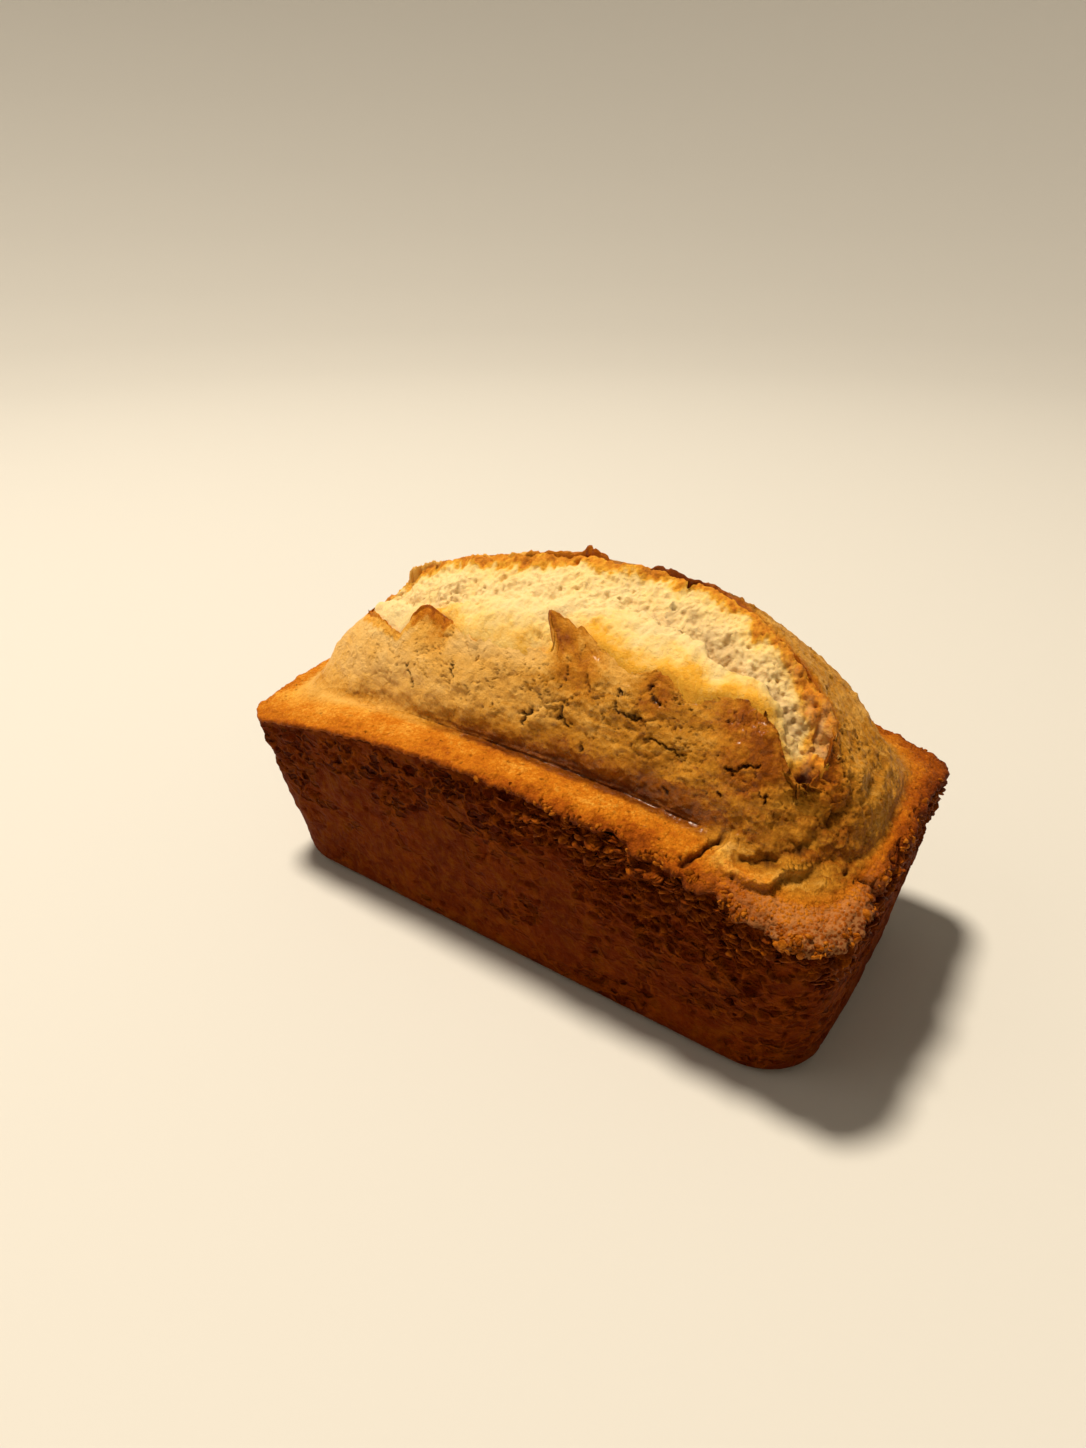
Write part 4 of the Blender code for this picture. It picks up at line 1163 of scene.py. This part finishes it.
def make_ledge():
    """Close the ledge below, inside the cake, with a lap of it under the dome's foot."""
    tucked = foot - foot_away * 0.0040
    under = np.array((
        ring(tucked, foot_z - 0.0060),
        ring(rim - rim_away * 0.0060, rim_z - 0.0055),
        ring(rim - rim_away * 0.0042, rim_z - 0.0034),
    ))
    rows = np.concatenate((ledge_skin, dome_lap, under))
    blank = np.zeros((5, station_count))
    lap_toast = np.concatenate((dome_toast[1:3], blank[:3] + 0.6))
    ends = smooth_step(np.abs(foot[:, 0]), 0.060, 0.080)[None]
    sandy = fade(ledge_shares, blend(0.62, 0.40, ends), blend(0.86, 0.80, ends))
    corner = mound(ledge_skin[..., 0], ledge_skin[..., 1], DUSTY_CORNER, DUSTY_SPREAD)
    grainy = blend(0.45, 0.80, torn_share(ledge_skin[..., 0])) + 0.20 * corner
    # Of these marks, the one for cracks is painted shade, and toast holds painted shade as well.
    marks = {
        "toast": np.concatenate((ledge_toast, lap_toast)),
        "crack": np.concatenate((np.clip(1.2 * ledge_shade, 0.0, 1.0), blank)),
        "gloss": np.concatenate((ledge_gloss, blank)),
        "sandy": np.concatenate((sandy, blank)),
        "granular": np.concatenate((sandy * grainy, blank)),
        "crumbly": np.concatenate((crumbly_share(ledge_skin, ledge_shares), blank)),
    }
    return make_piece("browned_ledge", rows, loft_faces(len(rows), station_count, True), golden_crust, marks)


def make_dome():
    """Give the dome's skin its lip and its thickness."""
    lip_turn = lip_rows(dome_skin[-1])
    steps = range(DOME_ROWS - 2, 0, -10)
    inner = np.array([dome_base[step] - CRUST_THICKNESS * ring(0.7 * foot_away, 0.7) for step in steps])
    rows = np.concatenate((ledge_lap, dome_skin, lip_turn, inner))
    extra = len(lip_turn) + len(inner)
    fill = np.ones((extra, station_count))
    lip_toast = dome_toast[-1] + 0.04
    # Of these marks, the one for cracks is painted shade, and toast holds painted light and shade as well.
    marks = {
        "toast": np.concatenate((ledge_toast[-3:-1], dome_toast, fill * lip_toast)),
        "crack": np.concatenate((ledge_shade[-3:-1], dome_shade, fill * 0.0)),
        "gloss": np.concatenate((ledge_gloss[-3:-1], dome_gloss, fill * dome_gloss[-1])),
        "sandy": np.concatenate((ledge_gloss[-3:-1] * 0.0, dome_orange, fill * dome_orange[-1])),
    }
    return make_piece("domed_crust", rows, loft_faces(len(rows), station_count, True), golden_crust, marks)


ledge = make_ledge()
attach(ledge, "root")
dome = make_dome()
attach(dome, "root")


# The crumbs on the rim: loose baked grains, mostly 0.5 to 2.5 mm across, half sunk in the ledge's torn edge.
# With them are the torn flakes: thin dark scales, 1 to 5 mm across, that lie on the upper wall at the right.
RIM_GRAIN_DENSITY = 900000.0
RIM_GRAIN_SIZES = (0.0003, 0.0010)
RIM_GRAIN_SEED = 7
WALL_FLAKE_DENSITY = 420000.0
WALL_FLAKE_SIZES = (0.0006, 0.0016)
WALL_FLAKE_SEED = 31


class Scatter(Recipe):
    """A geometry tree that strews closed grains over a piece where one of its marks is high."""

    def __init__(self, name, mark, seed, finish, least_stretch, most_stretch, turns):
        super().__init__(bpy.data.node_groups.new(name, "GeometryNodeTree"))
        sockets = self.tree.interface
        sockets.new_socket("Geometry", in_out="INPUT", socket_type="NodeSocketGeometry")
        self.inputs = {
            label: sockets.new_socket(label, in_out="INPUT", socket_type="NodeSocketFloat").identifier
            for label in ("Density", "Least size", "Most size")
        }
        sockets.new_socket("Geometry", in_out="OUTPUT", socket_type="NodeSocketGeometry")
        given = self.tree.nodes.new("NodeGroupInput")
        source, density, least, most = [Strand(self, given.outputs[index]) for index in range(4)]
        share = self.node("GeometryNodeInputNamedAttribute", {"data_type": "FLOAT"}, {"Name": mark})
        spots = self.node("GeometryNodeDistributePointsOnFaces", {},
                          {"Mesh": source, "Density": density * share, "Seed": seed}, "Points")
        grain = self.node("GeometryNodeMeshIcoSphere", {}, {"Radius": 1.0, "Subdivisions": 2}, "Mesh")
        turn = self.chance("FLOAT_VECTOR", {0: [-angle for angle in turns], 1: turns, "Seed": seed + 1}, 0)
        size = self.chance("FLOAT", {2: least, 3: most, "Seed": seed + 2}, 1)
        stretch = self.chance("FLOAT_VECTOR", {0: least_stretch, 1: most_stretch, "Seed": seed + 3}, 0)
        scale = self.node("ShaderNodeVectorMath", {"operation": "SCALE"}, {0: stretch, "Scale": size})
        strewn = self.node("GeometryNodeInstanceOnPoints", {},
                           {"Points": spots, "Instance": grain, "Rotation": turn, "Scale": scale})
        loose = self.node("GeometryNodeRealizeInstances", {}, {"Geometry": strewn})
        knock = self.sway(self.node("GeometryNodeInputPosition", {}, {}), 900.0, 2.0)
        push = self.shift(knock, (0.0010, 0.0010, 0.0010), (-0.0005, -0.0005, -0.0005))
        rough = self.node("GeometryNodeSetPosition", {}, {"Geometry": loose, "Offset": push})
        smooth = self.node("GeometryNodeSetShadeSmooth", {}, {0: rough})
        dressed = self.node("GeometryNodeSetMaterial", {}, {"Geometry": smooth, "Material": finish})
        result = self.tree.nodes.new("NodeGroupOutput")
        self.tree.links.new(dressed.socket, result.inputs[0])

    def chance(self, kind, inputs, output):
        """Draw a value or a vector for each point."""
        return self.node("FunctionNodeRandomValue", {"data_type": kind}, inputs, output)

    def strew(self, name, piece, density, sizes):
        """Strew the grains over a piece, and make them a plain mesh of their own."""
        holder = bpy.data.objects.new(name, piece.data.copy())
        bpy.context.scene.collection.objects.link(holder)
        step = holder.modifiers.new(name, "NODES")
        step.node_group = self.tree
        for label, value in zip(self.inputs, (density, *sizes)):
            step[self.inputs[label]] = value
        shaped = holder.evaluated_get(bpy.context.evaluated_depsgraph_get())
        mesh = bpy.data.meshes.new_from_object(shaped)
        holder.modifiers.clear()
        holder.data = mesh
        return holder


def grain_finish(name, *stops):
    """Toasted grains, whose colour varies at random from place to place."""
    finish = Finish(name, Specular_IOR_Level=0.16, Specular_Tint=(1.0, 0.60, 0.25, 1.0))
    each = finish.grain(0.0030, 2.0)
    fine = finish.grain(0.0007, 3.0)
    skin = finish.ramp(finish.spread(each + 0.5 * (fine - 0.5), 0.30, 0.75), *stops)
    return finish.dress(Base_Color=skin, Roughness=0.50 + 0.3 * fine, Normal=finish.relief(fine, 0.00025))


toasted_grains = grain_finish(
    "toasted_grains",
    (0.00, (0.460, 0.140, 0.009)),
    (0.45, (0.280, 0.068, 0.001)),
    (1.00, (0.110, 0.015, 0.000)),
)
torn_grains = grain_finish(
    "torn_grains",
    (0.00, (0.330, 0.078, 0.001)),
    (0.45, (0.170, 0.029, 0.000)),
    (1.00, (0.062, 0.007, 0.000)),
)
rim_grains = Scatter(
    "rim_grains", "crumbly", RIM_GRAIN_SEED, toasted_grains,
    (0.5, 0.5, 0.35), (1.6, 1.6, 0.9), (3.1, 3.1, 3.1),
)
crumbs = rim_grains.strew("rim_crumbs", ledge, RIM_GRAIN_DENSITY, RIM_GRAIN_SIZES)
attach(crumbs, "root")
wall_flakes = Scatter(
    "wall_flakes", "flaky", WALL_FLAKE_SEED, torn_grains,
    (0.9, 0.9, 0.16), (1.9, 1.9, 0.40), (0.6, 0.6, 3.1),
)
flakes = wall_flakes.strew("torn_flakes", wall, WALL_FLAKE_DENSITY, WALL_FLAKE_SIZES)
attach(flakes, "root")


# The crumb in the split: pale yellow batter that welled up last and tore as it set.
# A smooth lobe lies against the front crust, with a rough valley behind it that climbs to the far lip.
CRUMB_COLUMNS = 470
CRUMB_ROWS = 92
CRUMB_ENDS = (-0.0783, 0.0888)
CRUMB_TUCK = 0.0026
CRUMB_FLOOR = 0.074
RIDGE_PATH = (
    (-0.080, -0.0175), (-0.065, -0.0198), (-0.052, -0.0238), (-0.043, -0.0246), (-0.032, -0.0232),
    (-0.022, -0.0215), (-0.0134, -0.0212), (-0.003, -0.0200), (0.012, -0.0176), (0.030, -0.0160),
    (0.042, -0.0166), (0.052, -0.0184), (0.061, -0.0190), (0.068, -0.0192), (0.074, -0.0205),
    (0.090, -0.0215),
)
VALLEY_DEPTHS = (
    (-0.080, 0.0030), (-0.060, 0.0044), (-0.030, 0.0040), (-0.015, 0.0022), (0.015, 0.0018), (0.030, 0.0040),
    (0.050, 0.0056), (0.070, 0.0056), (0.090, 0.0050),
)
POCKET_PLACE = (0.0778, -0.0215)
FLAP_HOLLOW = (0.0020, -0.0285)
CRUMB_BULGE = (-0.0680, -0.0120)
CRUMB_TOASTED = (
    (0.0828, -0.0172, 0.0036, 0.62), (0.0842, -0.0212, 0.0034, 0.62), (0.0852, -0.0250, 0.0028, 0.55),
    (0.0815, -0.0135, 0.0030, 0.50), (0.0790, -0.0108, 0.0028, 0.62), (0.0765, -0.0130, 0.0026, 0.30),
    (0.0725, -0.0070, 0.0040, 0.24),
)
CRUMB_BRIDGE = (0.0800, -0.0112)
CRUMB_HOLE = (0.0828, -0.0262)
CRUMB_PORE = 0.0030
CRUMB_HOLE_SPACING = 0.0085
CRUMB_FALLS = (
    (CRUMB_BULGE, 0.0060, -0.0012), (LEFT_STEP, 0.0060, 0.0032), (CRUMB_BRIDGE, 0.0026, -0.0018),
    (POCKET_PLACE, 0.0060, 0.0056), (FLAP_HOLLOW, 0.0042, 0.0024), (CRUMB_HOLE, 0.0028, 0.0075),
)


def lip_envelope(plan, x, front):
    """Front or back of the lip at each place along the cake."""
    half = plan[plan[:, 1] < -0.015] if front else plan[plan[:, 1] >= -0.015]
    found = np.full(len(x), -0.0155 if front else -0.0150)
    step = x[1] - x[0]
    for index, place in enumerate(x):
        near = half[np.abs(half[:, 0] - place) < 1.2 * step]
        if len(near):
            found[index] = near[:, 1].min() if front else near[:, 1].max()
    return found


def eased_path(values, count):
    """Ease a row of values over a count of its neighbours."""
    weights = np.hanning(count + 2)[1:-1]
    return np.convolve(np.pad(values, count // 2, mode="edge"), weights / weights.sum(), mode="valid")


def crumb_finish():
    """Pale yellow crumb, grey olive shade painted in its hollows, golden orange where it browned at the lips.
    """
    finish = Finish("split_crumb", Roughness=0.78, Specular_IOR_Level=0.30, Subsurface_Weight=0.12)
    finish.shader.inputs["Subsurface Radius"].default_value = (1.0, 0.55, 0.20)
    finish.shader.inputs["Subsurface Scale"].default_value = 0.0020
    toast = finish.mark("toast")
    hollow = finish.mark("hollow")
    broad = finish.grain(0.009, 3.0)
    fine = finish.grain(0.0012, 4.0, 0.7)
    specks = finish.grain(0.00040, 3.0, 0.7)
    # The toast mark holds browning and the shade painted in the crumb's holes.
    value = toast + 0.20 * (broad - 0.5) + (0.24 + 0.30 * toast) * (fine - 0.5)
    skin = finish.ramp(
        value,
        (0.00, (0.830, 0.610, 0.275)),
        (0.22, (0.850, 0.560, 0.165)),
        (0.45, (0.850, 0.405, 0.024)),
        (0.68, (0.680, 0.225, 0.004)),
        (0.95, (0.170, 0.038, 0.001)),
    )
    # Painted shade: the crumb is tinted grey olive where the hollow mark is high.
    shade = finish.spread(hollow + 0.5 * (fine - 0.5), 0.15, 0.95)
    skin = finish.tint(0.60 * shade, skin, (0.590, 0.385, 0.175))
    crisp = finish.spread(toast, 0.20, 0.50)
    under = finish.relief(fine * (1.0 + 0.5 * crisp), 0.00055)
    over = finish.relief(specks * (1.0 + crisp), 0.00018, under)
    return finish.dress(Base_Color=skin, Roughness=0.70 + 0.2 * fine, Normal=over)


def crumb_drop(sheet, near, far, inside, ridge, depth):
    """How far the crumb lies below the dome's skin, how rough it is there, and how sunken, for painted shade.
    """
    x, y = sheet[..., 0], sheet[..., 1]
    firm = smooth_step(x, 0.020, 0.050)
    behind = smooth_step(y - ridge, blend(-0.0022, -0.0006, firm), blend(0.0058, 0.0022, firm))
    valley = behind * np.exp(-((y - ridge - 0.0020) / 0.0080) ** 2)
    drop = 0.0007 * smooth_step(near, 0.0, 0.0040) + depth * valley + 0.0006 * behind
    drop = drop * smooth_step(far, 0.0, 0.0060) - 0.0013 * fade(far, 0.0, 0.0050)
    drop = drop - 0.0008 * np.exp(-((near - 0.0040) / 0.0036) ** 2)
    steep = blend(0.0036, 0.0090, smooth_step(x, 0.066, 0.073))
    drop = drop + steep * fade(inside, -0.0012, 0.0008 * (x > 0.070))
    drop = drop + 0.0060 * fade(x, -0.0785, -0.0750)
    drop = drop - 0.0010 * fade(near, 0.0, 0.0036) * smooth_step(x, 0.010, 0.025)
    drop = drop + 0.0030 * fade(near, -0.0020, 0.0030) * smooth_step(x, 0.068, 0.076)
    drop = drop + 0.0022 * fade(near, 0.0, 0.0050) * fade(x, -0.037, -0.029)
    for place, spread, fall in CRUMB_FALLS:
        drop = drop + fall * mound(x, y, place, spread)
    pocket = mound(x, y, POCKET_PLACE, 0.0060)
    hollow = mound(x, y, FLAP_HOLLOW, 0.0042)
    rough = 0.22 + 1.2 * valley + pocket + hollow + 0.40 * behind + 0.5 * crumb_popped(x, y)
    # Painted shade: the crumb is to be shaded where sunk is high, in the valley, the pocket and the flap's
    # hollow.
    sunk = valley * smooth_step(depth, 0.0012, 0.0040) + 0.54 * pocket + 0.5 * hollow
    return drop, np.clip(rough, 0.0, 1.0), np.clip(sunk, 0.0, 1.0)


def crumb_popped(x, y):
    """Spots of crumb that popped up through the right end of the split, and toasted."""
    popped = np.zeros(y.shape)
    for place_x, place_y, width, share in CRUMB_TOASTED:
        popped += share * mound(x, y, (place_x, place_y), width)
    return popped


def crumb_lumps(sheet, rough, near, inside):
    """Lumps and pores of the torn crumb, with the pores and the larger holes on their own."""
    lumps = 0.0011 * crag(sheet, 0.0090, 93.0) + blend(0.0003, 0.0010, rough) * crag(sheet, 0.0036, 94.0)
    lumps += blend(0.00012, 0.00060, rough) * crag(sheet, 0.0014, 95.0)
    way, _, chance = cells(stray(sheet, 0.003, 0.0008, 96.0), CRUMB_PORE, 97.0)
    pores = round_spot(way, 0.10, 0.34) * (chance > blend(0.70, 0.30, rough))
    pores = pores * smooth_step(near, 0.0005, 0.0060)
    way, _, chance = cells(stray(sheet, 0.004, 0.0012, 98.0), CRUMB_HOLE_SPACING, 99.0)
    holes = round_spot(way, 0.10, 0.22) * (chance > 0.62)
    lumps -= blend(0.0004, 0.0008, rough) * pores + 0.0011 * holes
    lumps *= smooth_step(inside, -0.0024, 0.0006) * blend(0.35, 1.0, smooth_step(near, -0.0010, 0.0050))
    return lumps, pores, holes


def crumb_toasting(flat, near, far, ridge, holes):
    """How toasted the crumb is: brown under the far lip, golden along the near one, crisp at the right; holes
    painted in shade.
    """
    x, y = flat[..., 0], flat[..., 1]
    shaken = far + 0.0030 * crag(flat, 0.006, 101.0) + 0.0014 * crag(flat, 0.0018, 105.0)
    spread = blend(0.0072, 0.0100, smooth_step(x, 0.030, 0.060))
    toast = 0.20 * fade(shaken, 0.0016, spread) + 0.30 * fade(shaken, 0.0020, 0.0046)
    toast = toast + 0.34 * fade(shaken, 0.0006, 0.0024)
    golden = fade(near + 0.0034 * crag(flat, 0.005, 102.0), -0.0010, 0.0096)
    gilding = blend(0.44, 0.46, smooth_step(x, -0.020, 0.020)) * smooth_step(x, -0.052, -0.042)
    toast = toast + gilding * golden * (1.0 - 0.40 * np.exp(-((x + 0.0180) / 0.0150) ** 2))
    toast = toast + crumb_popped(x, y) * (0.9 + 0.8 * crag(flat, 0.0028, 106.0))
    # Painted shade: the hole at the right end is made dark brown.
    toast = np.minimum(toast, 0.62 + 0.16 * crag(flat, 0.0022, 107.0)) + mound(x, y, CRUMB_HOLE, 0.0024)
    # Painted shade in the holes.
    toast = toast + 0.12 * holes + 0.06 * crag(flat, 0.007, 103.0)
    return toast + 0.02 + 0.03 * smooth_step(y - ridge, 0.004, 0.012)


def closed_below(points, height):
    """Close a sheet of points to a slab with a flat underside: its points, faces and border."""
    rows, columns = points.shape[:2]
    index = np.arange(rows * columns).reshape(rows, columns)
    quads = np.stack((index[:-1, :-1], index[:-1, 1:], index[1:, 1:], index[1:, :-1]), axis=-1).reshape(-1, 4)
    border = np.concatenate((index[0, :-1], index[:-1, -1], index[-1, :0:-1], index[:0:-1, 0]))
    lower = points.reshape(-1, 3)[border].copy()
    lower[:, 2] = height
    under = np.arange(rows * columns, rows * columns + len(border))
    skirt = np.stack((under, np.roll(under, -1), np.roll(border, -1), border), axis=-1)
    faces = quads.tolist() + skirt.tolist() + [list(reversed(under.tolist()))]
    return np.concatenate((points.reshape(-1, 3), lower)), faces, border


def make_crumb():
    """Lay the crumb as a fine sheet under the crust's lips, over a closed slab."""
    plan = lip_plan()
    x = np.linspace(*CRUMB_ENDS, CRUMB_COLUMNS)
    front, back = [eased_path(lip_envelope(plan, x, at_front), 9) for at_front in (True, False)]
    broad_front, broad_back = [eased_path(side, 41) for side in (front, back)]
    tuck = CRUMB_TUCK * (1.0 - 0.40 * smooth_step(x, 0.070, 0.080))
    y = blend(front - tuck, back + CRUMB_TUCK, np.linspace(0.0, 1.0, CRUMB_ROWS)[:, None])
    xs = np.broadcast_to(x, y.shape)
    near, far, inside = y - broad_front, broad_back - y, np.minimum(y - front, back - y)
    flat = np.stack((xs, y, dome_height(xs, y)), axis=-1)
    ridge = np.interp(x, *zip(*RIDGE_PATH)) + 0.0020 * crag(flat, 0.008, 91.0)
    depth = np.interp(x, *zip(*VALLEY_DEPTHS)) * (1.0 + 0.5 * crag(flat, 0.012, 92.0))
    drop, rough, sunk = crumb_drop(flat, near, far, inside, ridge, depth)
    sheet = np.array(flat)
    sheet[..., 2] -= drop
    upright = np.cross(np.gradient(sheet, axis=1), np.gradient(sheet, axis=0))
    upright /= np.linalg.norm(upright, axis=-1, keepdims=True)
    lumps, pores, holes = crumb_lumps(sheet, rough, near, inside)
    points = sheet + upright * lumps[..., None]
    points[..., 1] += 0.0007 * np.exp(-((y - ridge) / 0.0010) ** 2) * smooth_step(depth, 0.0012, 0.0030)
    toast = crumb_toasting(flat, near, far, ridge, holes)
    # Painted shade: sunk becomes the hollow mark, strongest in the valley, the pocket, the flap's hollow, the
    # pores and the holes.
    sunk = sunk * blend(0.8, 1.4, smooth_step(xs, 0.015, 0.035)) * (0.75 + 0.9 * crag(flat, 0.005, 104.0))
    sunk = np.clip(sunk + 0.14 * pores * rough + 0.2 * holes, 0.0, 1.0)
    everything, faces, border = closed_below(points, CRUMB_FLOOR)
    marks = {
        mark: np.concatenate((values.ravel(), values.ravel()[border]))
        for mark, values in (("toast", toast), ("hollow", sunk))
    }
    return make_piece("split_crumb", everything, faces, crumb_finish(), marks)


crumb = make_crumb()
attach(crumb, "root")


# The floor and the light: a plain pale surface, lit softly from above, behind and to the left.
FLOOR_RADIUS = 1.2
SWEEP_RADIUS = 2.0
BACKDROP_HEIGHT = 2.9
FLOOR_STATIONS = 96


def sweep_rings():
    """Run from the floor's middle out to the foot of the sweep, up round it, and up the backdrop."""
    profile = [(0.001, 0.0), (0.5, 0.0), (FLOOR_RADIUS, 0.0)]
    for turn in np.linspace(0.0, math.pi / 2.0, 13)[1:]:
        profile.append((FLOOR_RADIUS + SWEEP_RADIUS * math.sin(turn), SWEEP_RADIUS * (1.0 - math.cos(turn))))
    profile.append((FLOOR_RADIUS + SWEEP_RADIUS, BACKDROP_HEIGHT))
    way = np.linspace(0.0, 2.0 * math.pi, FLOOR_STATIONS, endpoint=False)
    circle = np.column_stack((np.cos(way), np.sin(way)))
    return np.array([ring(radius * circle, height - 0.0002) for radius, height in profile])


sweep = sweep_rings()
floor_faces = loft_faces(len(sweep), FLOOR_STATIONS) + [list(reversed(range(FLOOR_STATIONS)))]
floor_mesh = bpy.data.meshes.new("floor")
floor_mesh.from_pydata(sweep.reshape(-1, 3).tolist(), [], [face[::-1] for face in floor_faces])
floor_mesh.shade_smooth()
floor_look = Finish("floor", Roughness=0.8)
floor_look.shader.inputs["Base Color"].default_value = (0.62, 0.59, 0.54, 1.0)
floor_mesh.materials.append(floor_look.material)
floor = bpy.data.objects.new("floor", floor_mesh)
bpy.context.scene.collection.objects.link(floor)

LIGHTS = (
    ("window", (-0.60, -0.05, 2.30), 0.44, 74.0, (1.0, 0.91, 0.76)),
    ("room", (-1.20, -1.30, 1.50), 1.50, 4.0, (1.0, 0.93, 0.82)),
)
for name, place, size, power, colour in LIGHTS:
    lamp = bpy.data.lights.new(name, "AREA")
    lamp.shape = "DISK"
    lamp.size = size
    lamp.energy = power
    lamp.color = colour
    holder = bpy.data.objects.new(name, lamp)
    holder.location = place
    holder.rotation_euler = (-Vector(place)).to_track_quat("-Z", "Y").to_euler()
    bpy.context.scene.collection.objects.link(holder)

world = bpy.data.worlds.new("soft_room")
world.use_nodes = True
world.node_tree.nodes["Background"].inputs["Color"].default_value = (0.64, 0.57, 0.47, 1.0)
world.node_tree.nodes["Background"].inputs["Strength"].default_value = 0.26
bpy.context.scene.world = world
bpy.context.scene.view_settings.view_transform = "Standard"
